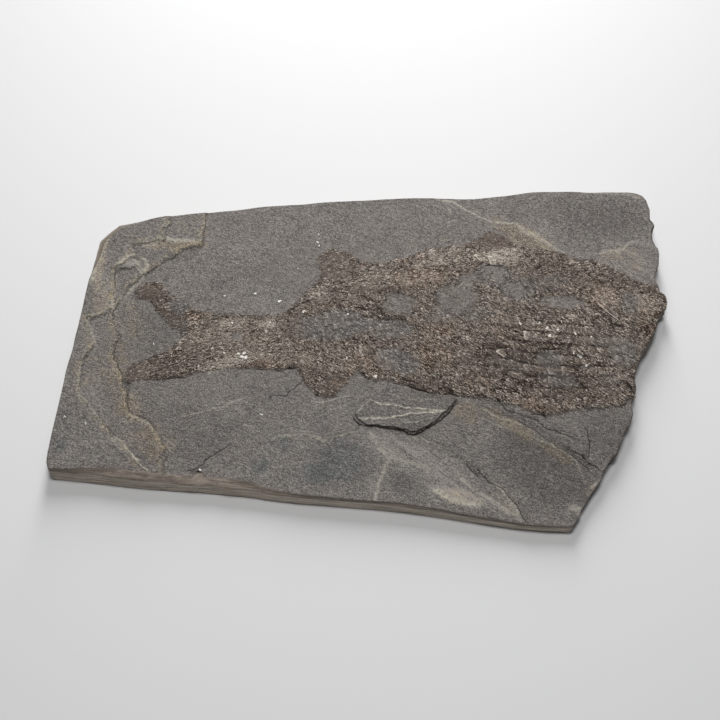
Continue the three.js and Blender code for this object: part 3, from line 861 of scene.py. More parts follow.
# %% Rows, flank and back
BACK_LINE = [
    (-66, 6), (-60, 13), (-50, 13), (-40, 12), (-30, 12.5), (-24, 17), (-16, 24), (-6, 30), (4, 33.5),
    (16, 37.5), (30, 41), (46, 42.5), (57, 41), (70, 38.5), (85, 33), (98, 26), (106, 21),
]
BELLY_LINE = [
    (-66, -1), (-60, -9.5), (-50, -8.7), (-40, -8.3), (-24, -8.7), (-16, -12), (-6, -13.5), (4, -13.5),
    (16, -16.5), (30, -19), (46, -22), (57, -25.5), (70, -25.5), (85, -23.5), (92, -19), (98, -1),
    (106, 12),
]
GRAIN_TURNS_X = (-60, 0, 30, 60, 100)
GRAIN_TURNS_Y = (4, 20, 27, 28, 20)
SCALE_ROWS = 15
row_edges = np.linspace(0, 1, SCALE_ROWS + 1)


def body_edges(x):
    """The y of the belly and of the back at each x."""
    return np.interp(x, *np.array(BELLY_LINE).T), np.interp(x, *np.array(BACK_LINE).T)


def share_of_body(x, y):
    """0 at the belly line and 1 at the back line."""
    low, high = body_edges(x)
    return np.clip((y - low) / (high - low), 0, 1)


def fossil_numbers(x, y):
    """Per-point numbers that give the fossil's crust its local character."""
    wx, wy = wandering(x, y)
    found = {name: np.clip(zone(wx, wy, blobs), 0, 1.2) for name, blobs in FOSSIL_ZONES.items()}
    found["mail_row"] = share_of_body(x, y) * SCALE_ROWS
    found["flank"] = blob(x, y, (64, -4), (34, 21))
    above_grain = y - np.interp(x, GRAIN_TURNS_X, GRAIN_TURNS_Y)
    found["back_grain"] = np.maximum(ease(above_grain, -2, 4), ease(-x, 18, 34))
    return found


print("the body is", np.ptp(body_edges(46.0)).round(1), "mm deep behind the head")

# %% [markdown]
# ## Numbers for the stone's finish
#
# Everything that the stone's finish needs to know about a point is gathered in one place: how deep
# inside the fish it lies, the nearest crack and scrape, the nearest leaf edge and the zones. The flake
# below the belly uses the same finish, so it gets the same numbers, with the fish, the stains and the
# cracks switched off and its own scrapes.

# %% Numbers for each point of the stone
FAR_OUTSIDE = -9


def nearest_leaf_edge(x, y):
    """Distance to the nearer edge of the two leaves along the left side, positive on the leaf."""
    edges = [depth_inside(x, y, leaf) for leaf in (MARGIN, LEDGE)]
    return np.where(np.abs(edges[0]) < np.abs(edges[1]), edges[0], edges[1])


def finish_numbers(x, y, broken, arris, lip, on_flake=False):
    """Every per-point number that the shale's finish reads."""
    tx, ty = wandering(x, y)
    lines = FLAKE_SCRAPES if on_flake else PALE_LINES
    dark_across, dark_near, dark_strength = nearest_lines(tx, ty, DARK_LINES)
    pale_across, pale_near, pale_strength = nearest_lines(tx, ty, lines)
    off = 0.0 if on_flake else 1.0
    return {
        "fish_depth": depth_inside(tx, ty, BODY) * off + FAR_OUTSIDE * (1 - off),
        "bare": bald(x, y),
        "dark_across": dark_across,
        "dark_near": dark_near,
        "dark_strength": dark_strength * off,
        "pale_across": pale_across,
        "pale_near": pale_near,
        "pale_strength": pale_strength,
        "ochre": zone(tx, ty, OCHRE) * off,
        "green": zone(tx, ty, GREEN) * off,
        "rubbed": zone(tx, ty, RUBBED) - 0.55 * (1 - off),
        "leaf_edge": nearest_leaf_edge(tx, ty) * off + FAR_OUTSIDE * (1 - off),
        # where the flake's lip carries a painted shadow
        "lip": lip,
        "broken": broken,
        "arris": arris,
        **fossil_numbers(x, y),
    }


FLAKE_SCRAPES = [
    ([(1.5, -21.5), (6, -22.8), (12, -23.6), (20, -24.8), (27.5, -25.2)], 0.5, 1.0),
    ([(-3, -28.6), (3, -28.7), (9, -28.3), (15, -26.6), (27, -25.3)], 0.5, 1.0),
    ([(-4, -26.5), (-1.5, -24), (1.5, -21.5)], 0.4, 0.6),
    ([(10, -30.5), (18, -29.5), (24, -27)], 0.35, 0.4),
    ([(8, -19), (16, -20.5), (24, -21)], 0.35, 0.3),
]
print("scrapes on the flake:", len(FLAKE_SCRAPES))

# %% [markdown]
# ## The slab itself
#
# The skin becomes a mesh with three finishes: the bed, the sides and the underside. Three more numbers
# belong to its rings of wall points. `broken` marks the break, `arris` the worn upper edge, and a third
# number the wall of the front side, which is painted paler than the others as painted light. Then the
# slab takes the place of the plain one in the frame, and rides on its body.

# %% The slab
broken_side = np.zeros(len(skin))
arris = np.zeros(len(skin))
lit_front = np.zeros(len(skin))
for ring in rings[:WALL_RINGS + 1]:
    broken_side[ring] = is_break
for ring in rings[:2]:
    arris[ring] = 1 - 0.25 * front_shelf
for ring in rings[2:4]:
    arris[ring] = 0.6 * front_shelf
# the front wall below its shoulder is painted paler, as painted light
for ring in rings[4:WALL_RINGS + 1]:
    lit_front[ring] = is_front
slab = make_piece(
    "slab",
    skin,
    [(top_faces, 0), *[(faces, 1) for faces in wall_faces + wall_tris], (foot_faces, 2)],
    {**finish_numbers(skin[:, 0], skin[:, 1], broken_side, arris, arris * 0), "lit_front": lit_front},
)
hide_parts("slab")
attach(slab, "root")

# %% [markdown]
# ## The flake
#
# Below the belly a leaf of shale was left standing when the next layer split away. Its upper edge is
# still rooted by the fish, and its lower edge hangs over the bed with a dark gap under it, with a
# painted shadow on its lip and a painted shadow line on the bed below. A bump on the slab's own grid
# couldn't hang over, so the flake is a thin closed shell of its own: rings of points run out from its
# middle, over the lip and back underneath.

# %% A leaf with an overhanging lip
FLAKE = [
    (-4.5, -26), (-2, -23.5), (0.5, -21), (4, -18), (8, -15), (12.5, -16.5), (17, -17.3), (21, -18.6),
    (24, -19.2), (30, -19.5), (30.8, -20.6), (29, -23.5), (26.5, -26), (23, -29.5), (20, -31.3),
    (17.5, -32.8), (15, -33.2), (13, -32), (11.5, -32.3), (9, -31.6), (6, -31.3), (3.5, -30.5),
    (0.5, -31), (-1, -30.5), (-2.8, -28.7),
]
FLAKE_MIDDLE = np.array([13.0, -24.0])
LIP_POINTS, LIP_RINGS = 320, 34
LIP_PROFILE = ((0.992, 0.3), (0.972, 0.5), (0.94, 0.75), (0.9, 1.3))
FLAKE_THICKNESS = 1.4


def flake_top(x, y):
    """Height of the leaf's upper face: it rises towards its free lower edge and its tip."""
    down = np.clip((-16 - y) / 15, 0, 1)
    leaf_edge = ease(rough_hills(x, y * 2.5, 7, 2, 120), 0.15, 0.3)
    _, near, strength = nearest_lines(*wandering(x, y), FLAKE_SCRAPES)
    z = BED + 0.3 + 0.55 * down + 0.2 * ease(x, 5, 30) - 0.14 * leaf_edge
    z += 0.05 * rough_hills(x, y, 4, 4, 121) + 0.12 * strength * np.exp(-(near / 0.5) ** 2)
    return z


middle_top = np.append(FLAKE_MIDDLE, flake_top(*FLAKE_MIDDLE[:, None])[0])
print("middle of the flake in mm:", middle_top.round(1))

# %% [markdown]
# The shell is closed like a coin: a fan of triangles round the middle of its top, rings of quads out to
# the lip and back under it, and a second fan below. Whether faces look out or in depends on which way
# round the lip runs, so that is measured, and the faces are turned if they have to be.

# %% Closing the shell
lip = walk(FLAKE + FLAKE[:1], LIP_POINTS)[:-1]
lip = lip + 0.25 * np.stack([rough_hills(lip[:, 0], lip[:, 1], 2.2, 3, s) for s in (122, 123)], 1)
flake_rings = []
for k in range(1, LIP_RINGS + 1):
    place = FLAKE_MIDDLE + (lip - FLAKE_MIDDLE) * (k / LIP_RINGS) ** 0.8
    drop = 0.08 if k == LIP_RINGS else 0.0
    flake_rings.append(np.column_stack([place, flake_top(*place.T) - drop]))
for share, depth in LIP_PROFILE:
    place = FLAKE_MIDDLE + (lip - FLAKE_MIDDLE) * share
    flake_rings.append(np.column_stack([place, flake_top(*place.T) - depth]))
middle_low = middle_top - (0, 0, FLAKE_THICKNESS)
flake_points = np.concatenate(flake_rings + [[middle_top], [middle_low]])
ring_at = [np.arange(LIP_POINTS) + k * LIP_POINTS for k in range(len(flake_rings))]
top_hub, low_hub = len(flake_points) - 2, len(flake_points) - 1
hub_fan = np.stack([np.full(LIP_POINTS, top_hub), ring_at[0], np.roll(ring_at[0], -1)], 1)
low_fan = np.stack([np.full(LIP_POINTS, low_hub), np.roll(ring_at[-1], -1), ring_at[-1]], 1)
turning = float(np.cross(lip[0] - FLAKE_MIDDLE, lip[20] - FLAKE_MIDDLE))
print("lip runs", "counter-clockwise" if turning > 0 else "clockwise")
flake_skin = [hub_fan, low_fan] + [band(a, b) for a, b in zip(ring_at[:-1], ring_at[1:])]
if turning < 0:
    flake_skin = [faces[:, ::-1] for faces in flake_skin]
no_wall = np.zeros(len(flake_points))
# where the lip hangs over the bed, its rim and underside carry a painted shadow
hanging = np.clip(ease(-16.5 - lip[:, 1], 0, 6) + ease(lip[:, 0], 24, 28), 0, 1)
painted_lip_shadow = np.zeros(len(flake_points))
for ring in ring_at[LIP_RINGS - 1:]:
    painted_lip_shadow[ring] = hanging
flake = make_piece(
    "flake",
    flake_points,
    [(faces, 0) for faces in flake_skin],
    finish_numbers(*flake_points[:, :2].T, no_wall, no_wall, painted_lip_shadow, on_flake=True),
)
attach(flake, "root")

# %% [markdown]
# ## A bench for finishes
#
# A finish in Blender is a graph of small nodes. Written out one by one they take a page, so this cell
# makes a bench that puts a node down and joins it in one line. Sizes on the bench are in millimetres
# too, and every noise is worked out from the place on the object, so it needs no texture map. Where a
# number is the same all over a surface, it is set on the shader's own socket.

# %% The bench
class Bench:
    """A workbench for one finish."""

    def __init__(self, name):
        self.material = bpy.data.materials.new(name)
        self.material.use_nodes = True
        self.tree = self.material.node_tree
        self.tree.nodes.clear()
        self.place = self.put("TexCoord").outputs["Object"]

    def put(self, kind, inputs=(), **settings):
        """A node of that kind, with its settings made and its sockets joined or set."""
        node = self.tree.nodes.new("ShaderNode" + kind)
        for key, value in settings.items():
            setattr(node, key, value)
        for key, value in dict(inputs).items():
            if isinstance(value, bpy.types.NodeSocket):
                self.tree.links.new(value, node.inputs[key])
            else:
                node.inputs[key].default_value = value
        return node

    def number(self, name):
        """A per-point number stored on the mesh."""
        return self.put("Attribute", attribute_name=name).outputs["Fac"]

    def sums(self, how, a, b, c=0.0):
        """Arithmetic on two or three values."""
        return self.put("Math", {0: a, 1: b, 2: c}, operation=how).outputs[0]

    def soft_step(self, value, low, high, to=1.0):
        """0 below low, `to` above high, with a smooth ramp between."""
        sockets = {"Value": value, "From Min": low, "From Max": high, "To Max": to}
        return self.put("MapRange", sockets, interpolation_type="SMOOTHSTEP").outputs[0]

    def stretched(self, x=1.0, y=1.0, z=1.0, turn=0.0):
        """A place that makes marks x, y and z times as long, along axes turned by some degrees."""
        sockets = {"Vector": self.place, "Scale": (x, y, z), "Rotation": (0, 0, math.radians(turn))}
        return self.put("Mapping", sockets, vector_type="TEXTURE").outputs[0]

    def noise(self, size, detail=3.0, rough=0.5, where=None, swirl=0.0):
        """Cloudy noise about `size` mm across, from 0 to 1."""
        sockets = {
            "Vector": where or self.place,
            "Scale": 1 / (size * MM),
            "Detail": detail,
            "Roughness": rough,
            "Distortion": swirl,
        }
        return self.put("TexNoise", sockets).outputs["Fac"]

    def ramp(self, value, stops):
        """Colours along a value: stops are (place, (r, g, b))."""
        node = self.put("ValToRGB", {"Fac": value})
        colours = node.color_ramp.elements
        while len(colours) < len(stops):
            colours.new(1.0)
        for slot, (place, colour) in zip(colours, stops):
            slot.position = place
            slot.color = (*colour, 1)
        return node.outputs["Color"]

    def mix(self, share, a, b, how="MIX"):
        """Colour b laid over colour a by a share."""
        a = a if isinstance(a, bpy.types.NodeSocket) else (*a, 1)
        b = b if isinstance(b, bpy.types.NodeSocket) else (*b, 1)
        return self.put("MixRGB", {"Fac": share, "Color1": a, "Color2": b}, blend_type=how).outputs[0]

    def bump(self, height, depth, before=None):
        """Surface relief `depth` mm high where the height is 1."""
        sockets = {"Height": height, "Distance": depth * MM, "Strength": 1.0}
        if before:
            sockets["Normal"] = before
        return self.put("Bump", sockets).outputs["Normal"]

    def done(self, colour, roughness, normal, **fixed):
        """The shader itself, joined to the output."""
        sockets = {"Base Color": colour, "Roughness": roughness, "Normal": normal}
        sockets.update({key.replace("_", " "): value for key, value in fixed.items()})
        shader = self.put("BsdfPrincipled", sockets)
        self.put("OutputMaterial", {"Surface": shader.outputs[0]})
        print("finish", self.material.name, "uses", len(self.tree.nodes), "nodes")
        return self.material


# %% [markdown]
# ## The crust of the fossil
#
# Scales and stone share one colour recipe, or the scales would look glued on. The recipe is crumbs
# crossed with short strokes. The strokes lean back on the flank and forward on the back, the way the
# scales were pushed over, so two stretched noises are blended from one part of the body to the other.
# The rows of the lower flank are parted by dark gaps of painted shade, and the zones then tint the
# result, with more painted shade where the scales stand steeply.

# %% One recipe for the crust
STONE_GREY = (0.152, 0.142, 0.132)
UMBER = [
    (0.08, (0.012, 0.007, 0.005)), (0.32, (0.046, 0.030, 0.022)), (0.46, (0.076, 0.053, 0.040)),
    (0.66, (0.108, 0.079, 0.061)), (0.82, (0.186, 0.144, 0.114)), (1.00, (0.600, 0.545, 0.480)),
]
STROKE, STROKE_LENGTH = 0.34, 4
LEANS_BACK, LEANS_FORWARD = -34, 14


def off_centre(b, value, gain, onto):
    """A noise's swing round its middle, made stronger and added to something."""
    return b.sums("MULTIPLY_ADD", b.sums("SUBTRACT", value, 0.5), gain, onto)


def crust_recipe(b):
    """Colour of the crust at each place, and a height for its relief."""
    crumbs = b.noise(0.32, 2, 0.6)
    leaning_back, leaning_on = [
        b.noise(STROKE, 3, 0.55, b.stretched(STROKE_LENGTH, turn=lean), swirl=0.9)
        for lean in (LEANS_BACK, LEANS_FORWARD)
    ]
    blend = b.sums("SUBTRACT", leaning_on, leaning_back)
    strokes = b.sums("MULTIPLY_ADD", blend, b.number("back_grain"), leaning_back)
    patches = b.noise(4.5, 4, 0.6)
    calm = b.sums("MULTIPLY_ADD", b.number("velvet"), -0.42, 1.0)
    tone = off_centre(b, crumbs, 2.8, 0.0)
    tone = off_centre(b, strokes, 4.0, tone)
    tone = b.sums("MULTIPLY", tone, calm)
    tone = off_centre(b, patches, 0.4, tone)
    tone = off_centre(b, b.noise(1.5, 3, 0.6), 0.3, tone)
    tone = b.sums("ADD", tone, 0.495)
    rows = b.sums("PINGPONG", b.number("mail_row"), 0.5)
    rows = off_centre(b, b.noise(1.4, 4, 0.65), -0.6, rows)
    # painted shade in the gaps between the rows of the lower flank
    row_gap_shade = b.sums("MULTIPLY", b.soft_step(rows, 0.2, 0.02, 0.5), b.number("flank"))
    tone = b.sums("SUBTRACT", tone, row_gap_shade)
    tone = b.sums("MULTIPLY_ADD", b.number("flank"), -0.05, tone)
    tone = b.sums("MULTIPLY_ADD", b.number("tan"), 0.2, tone)
    tone = b.sums("MULTIPLY_ADD", b.number("velvet"), 0.03, tone)
    # painted shade where the scales stand steeply
    tone = b.sums("MULTIPLY_ADD", b.number("steep_shade"), -0.12, tone)
    colour = b.ramp(tone, UMBER)
    rusty = off_centre(b, patches, 2.2, b.number("rust"))
    colour = b.mix(b.soft_step(rusty, -0.2, 0.8, 0.45), colour, (1.12, 0.88, 0.72), "MULTIPLY")
    colour = b.mix(b.soft_step(b.number("velvet"), 0.2, 1.0, 0.32), colour, (0.128, 0.110, 0.099))
    grey = off_centre(b, patches, 1.0, b.number("grey_mail"))
    stone = b.mix(0.5, STONE_GREY, b.mix(1.0, colour, (1.0, 1.10, 1.26), "MULTIPLY"))
    colour = b.mix(b.soft_step(grey, 0.1, 0.8, 0.9), colour, stone)
    height = b.sums("MULTIPLY_ADD", strokes, 1.3, crumbs)
    return colour, b.sums("MULTIPLY", height, calm)


print("the crust runs through", len(UMBER), "colours, with strokes", STROKE * STROKE_LENGTH, "mm long")

# %% [markdown]
# ## The bedding face
#
# A split face of shale is matte and finely speckled: silt grains catch the light beside specks of
# carbon. A noise of round grains would look like sandpaper, so a third of it is crossed with short
# scratches along the bed's own grain. Slow clouds of lighter and darker grey lie over that, and long
# streaks where the face was scraped.

# %% Speckled stone
SHALE = [(0.0, (0.054, 0.047, 0.043)), (0.5, (0.133, 0.120, 0.112)), (1.0, (0.272, 0.250, 0.230))]
MICA = (0.34, 0.32, 0.29)
BED_GRAIN, SCRAPE_TURN = -20, -36


def speckled_stone(b):
    """Colour of the plain bed, with the silt and the streaks that other finishes reuse."""
    speckle = b.noise(0.45, 3, 0.75)
    scratches = b.noise(0.4, 2, 0.6, b.stretched(3, turn=BED_GRAIN), swirl=0.8)
    silt = b.sums("MULTIPLY_ADD", b.sums("SUBTRACT", scratches, speckle), 0.36, speckle)
    grain = b.noise(1.3, 3, 0.6, b.stretched(2, turn=BED_GRAIN))
    cloud = b.noise(11, 6, 0.62, swirl=0.4)
    streaks = b.noise(1.6, 4, 0.62, b.stretched(9, turn=SCRAPE_TURN))
    tone = off_centre(b, silt, 4.6, 0.5)
    tone = off_centre(b, grain, 0.3, tone)
    tone = off_centre(b, cloud, 0.4, tone)
    tone = b.sums("MULTIPLY_ADD", b.number("rubbed"), 0.24, tone)
    scraped = b.sums("ADD", b.soft_step(b.number("rubbed"), 0.15, 0.8, 1.0), 0.15)
    tone = b.sums("MULTIPLY_ADD", b.sums("SUBTRACT", streaks, 0.5), scraped, tone)
    bright = b.soft_step(b.noise(0.35, 2, 0.6), 0.66, 0.74, 0.6)
    return b.mix(bright, b.ramp(tone, SHALE), MICA), silt, streaks


print("shale runs through", len(SHALE), "greys")

# %% [markdown]
# Ochre and clay-green are stains: they tint the stone and leave its speckle showing, so their colours
# are multiplied in, not painted over. Along the edges of the two left leaves a paler, yellower band is
# painted on the upper side of the step, partly stone broken more lately and partly a painted highlight,
# with a thin painted shadow under it.

# %% Stains and leaf edges
OCHRE_TINT, CLAY_TINT, FRESH_BREAK_AND_HIGHLIGHT_TINT = (1.32, 1.22, 0.98), (0.64, 0.76, 0.78), (1.62, 1.52, 1.20)
EDGE_SHADOW = (0.040, 0.035, 0.031)


def stained(b, stone, silt, streaks, patch):
    """Stone with its ochre and its clay-green."""
    ochre = off_centre(b, b.noise(4, 6, 0.75), 3.2, b.number("ochre"))
    ochre = off_centre(b, silt, 1.6, ochre)
    ochre = off_centre(b, streaks, 1.2, ochre)
    stone = b.mix(b.soft_step(ochre, 0.2, 1.4, 0.8), stone, OCHRE_TINT, "MULTIPLY")
    green = off_centre(b, patch, 1.3, b.number("green"))
    return b.mix(b.soft_step(green, 0.2, 1.1, 0.85), stone, CLAY_TINT, "MULTIPLY")


def edged(b, stone, edge):
    """Stone with the broken edges of its leaves, `edge` mm away: a pale band, partly fresh stone and
    partly a painted highlight, and a painted shadow below it.
    """
    # a pale band on the high side of the step: partly fresher stone, partly a painted highlight
    lit_broken_band = b.sums("MULTIPLY", b.soft_step(edge, -0.4, 0.2), b.soft_step(edge, 3.2, 0.6))
    lit_broken_band = b.sums("MULTIPLY", lit_broken_band, b.soft_step(b.noise(1.4, 4, 0.7), 0.42, 0.6, 0.7))
    stone = b.mix(lit_broken_band, stone, FRESH_BREAK_AND_HIGHLIGHT_TINT, "MULTIPLY")
    # a painted shadow under the step
    painted_edge_shadow = b.soft_step(b.sums("ABSOLUTE", b.sums("ADD", edge, 0.6), 0.0), 0.55, 0.1, 0.6)
    painted_edge_shadow = b.sums("MULTIPLY", painted_edge_shadow, b.soft_step(b.noise(3.5, 4, 0.6), 0.46, 0.62))
    return b.mix(painted_edge_shadow, stone, EDGE_SHADOW)


print("tints for ochre, clay and fresh breaks:", OCHRE_TINT, CLAY_TINT, FRESH_BREAK_AND_HIGHLIGHT_TINT)

# %% [markdown]
# The pale lines come next, then the crust of the fossil wherever the stone isn't bare, and last the
# cracks with their painted shade, which cut through everything, and the painted shadow on the flake's
# lip. Each edge is broken up by noise, or it would look cut with a knife. The relief is built the same
# way, from broad to fine.

# %% Finish of the bedding face
BRUISE = (0.42, 0.395, 0.325)
CRACK_SHADE_BLACK, LIP_SHADOW_BLACK = (0.018, 0.014, 0.012), (0.022, 0.018, 0.015)


def line_mask(b, kind, low, high, jag):
    """How strongly a point lies on the nearest line of a kind, with a ragged edge."""
    jagged = b.sums("SUBTRACT", b.noise(0.9, 3, 0.6), 0.5)
    away = b.sums("MULTIPLY_ADD", jagged, jag, b.number(kind + "_across"))
    mask = b.sums("SUBTRACT", 1.0, b.soft_step(b.sums("ABSOLUTE", away, 0.0), low, high))
    near = b.sums("SUBTRACT", 1.0, b.soft_step(b.number(kind + "_near"), 1.5, 2.2))
    return b.sums("MULTIPLY", b.sums("MULTIPLY", mask, near), b.number(kind + "_strength"))


def fish_mask(b):
    """How much of the crust covers a point: all of it inside the fish, none in the bare windows."""
    ragged = off_centre(b, b.noise(1.6, 4, 0.65), 3.4, b.number("fish_depth"))
    bare = off_centre(b, b.noise(2.2, 4, 0.6), 2.4, b.number("bare"))
    covered = b.sums("SUBTRACT", 1.0, b.soft_step(bare, 0.3, 0.7, 0.92))
    return b.sums("MULTIPLY", covered, b.soft_step(ragged, -0.5, 0.8))


def bedding_finish():
    b = Bench("bedding_shale")
    stone, silt, streaks = speckled_stone(b)
    patch = b.noise(2.6, 4, 0.65)
    edge = off_centre(b, patch, 4.4, b.number("leaf_edge"))
    stone = edged(b, stained(b, stone, silt, streaks, patch), edge)
    pale = line_mask(b, "pale", 0.0, 1.15, 2.4)
    pale = b.sums("MULTIPLY", pale, b.soft_step(b.noise(1.0, 4, 0.7), 0.32, 0.58))
    stone = b.mix(pale, stone, BRUISE)
    crust, crust_height = crust_recipe(b)
    fish = fish_mask(b)
    stone = b.mix(fish, stone, crust)
    # painted shade in the cracks, in the gaps of the crust, along the fish and under the flake
    stone = b.mix(line_mask(b, "dark", 0.15, 0.9, 2.2), stone, CRACK_SHADE_BLACK)
    # painted shadow on the flake's overhanging lip
    lip = off_centre(b, patch, 0.8, b.number("lip"))
    stone = b.mix(b.soft_step(lip, 0.9, 1.2, 0.75), stone, LIP_SHADOW_BLACK)
    relief = b.bump(b.noise(2.6, 5, 0.62), 0.3)
    relief = b.bump(b.soft_step(edge, -0.5, 0.5), 0.5, relief)
    relief = b.bump(silt, 0.22, relief)
    relief = b.bump(b.sums("MULTIPLY", crust_height, fish), 0.42, relief)
    matte = b.sums("MULTIPLY_ADD", fish, -0.2, 0.86)
    return b.done(stone, matte, relief, Specular_IOR_Level=0.25)


bedding = bedding_finish()

# %% [markdown]
# ## The sides and the underside
#
# Seen edge-on, shale is a stack of pages. They show as straight fine stripes, warmer than the bed, with
# a rusty one here and there. The wall of the front side is painted paler as painted light, and the
# shoulder above it and the other sides keep a darker grey. The broken side is the dullest, with a touch
# of olive. The stripes are noise squeezed flat along the height, so they run level all the way round.

# %% Finish of the sides
PAGES_FLAT, FINE_PAGES_FLAT = 1 / 24, 1 / 30


def side_finish():
    b = Bench("layered_side")
    pages = b.noise(16, 4, 0.6, b.stretched(z=PAGES_FLAT))
    fine = b.noise(9, 4, 0.65, b.stretched(z=FINE_PAGES_FLAT))
    grit = b.noise(0.6, 3, 0.6)
    tone = off_centre(b, pages, 1.8, 0.5)
    tone = off_centre(b, fine, 1.1, tone)
    tone = off_centre(b, grit, 0.6, tone)
    page = b.ramp(tone, [
        (0.05, (0.190, 0.162, 0.136)),
        (0.5, (0.590, 0.518, 0.445)),
        (0.95, (0.800, 0.715, 0.615)),
    ])
    rusty = b.soft_step(b.noise(18, 3, 0.5, b.stretched(1, 1, 1 / 26)), 0.56, 0.68, 0.55)
    page = b.mix(rusty, page, (0.300, 0.225, 0.150))
    # a darker copy of the pages for the shoulder and the other sides; the front wall keeps the pale one
    # as painted light
    wear_and_light = b.mix(1.0, page, (0.46, 0.44, 0.43), "MULTIPLY")
    page = b.mix(b.number("lit_front"), wear_and_light, page)
    snapped = b.mix(0.62, page, (0.150, 0.138, 0.122))
    olive = b.soft_step(b.noise(9, 3, 0.5), 0.5, 0.62, 0.5)
    snapped = b.mix(olive, snapped, (0.150, 0.140, 0.100))
    page = b.mix(b.number("broken"), page, snapped)
    arris = off_centre(b, b.noise(2.2, 4, 0.7, b.stretched(2, 2, 0.5)), 1.6, b.number("arris"))
    page = b.mix(b.soft_step(arris, 0.5, 1.0, 0.7), page, (0.120, 0.098, 0.078))
    relief = b.bump(pages, 0.6)
    relief = b.bump(fine, 0.4, relief)
    relief = b.bump(grit, 0.12, relief)
    return b.done(page, b.sums("MULTIPLY_ADD", grit, 0.15, 0.76), relief, Specular_IOR_Level=0.35)


side = side_finish()

# %% [markdown]
# The underside is the same shale, but it has been lying on tables: it is a little scuffed, and stained
# here and there. With its finish made, all three go on the slab. Their order has to match the numbers
# that the faces were given, which are 0 for the bed, 1 for the sides and 2 for the underside.

# %% Finish of the underside
def underside_finish():
    b = Bench("underside_shale")
    silt = b.noise(0.6, 3, 0.65)
    cloud = b.noise(20, 5, 0.6, swirl=0.6)
    tone = b.sums("MULTIPLY_ADD", b.sums("SUBTRACT", silt, 0.5), 1.2, 0.5)
    tone = b.sums("MULTIPLY_ADD", b.sums("SUBTRACT", cloud, 0.5), 0.9, tone)
    stone = b.ramp(tone, [
        (0.0, (0.060, 0.056, 0.052)),
        (0.5, (0.140, 0.131, 0.121)),
        (1.0, (0.260, 0.242, 0.220)),
    ])
    stain = b.soft_step(b.noise(16, 6, 0.6), 0.55, 0.7, 0.6)
    stone = b.mix(stain, stone, (0.190, 0.152, 0.098))
    scuffs = b.soft_step(b.noise(2.5, 3, 0.6, b.stretched(6, 1, 1, 35)), 0.62, 0.7, 0.5)
    stone = b.mix(scuffs, stone, (0.30, 0.28, 0.25))
    relief = b.bump(b.noise(4, 5, 0.6), 0.4)
    relief = b.bump(silt, 0.12, relief)
    return b.done(stone, b.sums("MULTIPLY_ADD", silt, 0.1, 0.8), relief, Specular_IOR_Level=0.35)


for finish in (bedding, side, underside_finish()):
    slab.data.materials.append(finish)
flake.data.materials.append(bedding)

# %% [markdown]
# ## One scale, many scales
#
# The fish wore a mail of thick rhombic scales. They overlapped like roof tiles, the free edge of each
# towards the tail, and rock pressure has since tipped, cracked and lost many. A texture of scales
# would look painted, because what the eye reads is each raised edge catching the light and the dark
# slot beside it. So every scale is a small closed plate: a face that rises to its free edge, a worn
# crest along that edge and a buried back. One is described once, as corners (u, v, lift) in shares of
# its size, and numpy turns it into thousands.

# %% Describing a plate and a splinter
BURIED = -9.0
ROOT_DEPTH = 0.45


def plate_pattern(corners):
    """Points, triangles and crest of one plate. Each corner is (u, v, lift)."""
    corners = np.array(corners, float)
    n = len(corners)
    flat, lift = corners[:, :2], corners[:, 2]
    face = np.column_stack([flat * 0.84, lift])
    edge = np.column_stack([flat, lift - 0.22])
    back = np.column_stack([flat * 0.96, np.full(n, BURIED)])
    hubs = [[0, 0, lift.mean()], [0, 0, BURIED]]
    i = np.arange(n)
    j = np.roll(i, -1)
    groups = [
        (np.full(n, 3 * n), i, j), (i, i + n, j + n), (i, j + n, j), (i + n, i + 2 * n, j + 2 * n),
        (i + n, j + 2 * n, j + n), (np.full(n, 3 * n + 1), j + 2 * n, i + 2 * n),
    ]
    crest = np.concatenate([lift > 0.7, lift > 0.7, lift > 9, [False, False]]).astype(float)
    triangles = np.concatenate([np.stack(group, 1) for group in groups])
    return np.concatenate([face, edge, back, hubs]), triangles, crest


def splinter_pattern(bend):
    """A splinter: a thin bent ridge, sharp along its crest."""
    along = np.array([-0.5, -0.2, 0.15, 0.5])
    middle = bend * (1 - (2 * along) ** 2)
    half = np.array([0.15, 0.5, 0.45, 0.1])
    rise = np.array([0.3, 1.0, 0.9, 0.2])
    low = np.full(4, BURIED)
    left = np.column_stack([along, middle + half, low])
    top = np.column_stack([along, middle, rise])
    right = np.column_stack([along, middle - half, low])
    points = np.stack([left, top, right], 1).reshape(-1, 3)
    faces = [(0, 1, 2), (11, 10, 9)]
    for k in (0, 3, 6):
        for a, b in ((0, 1), (1, 2), (2, 0)):
            faces += [(k + b, k + a, k + a + 3), (k + b, k + a + 3, k + b + 3)]
    crest = np.tile([0.0, 1.0, 0.0], 4)
    return points, np.array(faces), crest


SCALE = plate_pattern([
    (0.5, -0.42, 0.2), (0.42, 0.1, 0.15), (0.3, 0.5, 0.35), (-0.3, 0.52, 0.8), (-0.62, 0.4, 1.0),
    (-0.36, -0.1, 1.0), (-0.12, -0.5, 0.85),
])
CHIP = plate_pattern([
    (0.5, 0.05, 0.5), (0.12, 0.5, 0.9), (-0.4, 0.3, 1.0), (-0.45, -0.3, 0.6), (0.1, -0.5, 0.3),
])
SPLINTER = splinter_pattern(0.9)
print("triangles in a scale, a chip and a splinter:", [len(p[1]) for p in (SCALE, CHIP, SPLINTER)])

# %% [markdown]
# Laying them is the same for every kind. Each plate has a row of nine numbers, and the pattern is
# turned, scaled, tipped and set down on the bed at its place. Its buried points go a little way into
# the stone, so that no plate floats. The tone and the zone numbers go along for the finish.

# %% Laying plates
PLATE_NUMBERS = ("x", "y", "turn", "length", "width", "height", "tip", "roll", "tone")


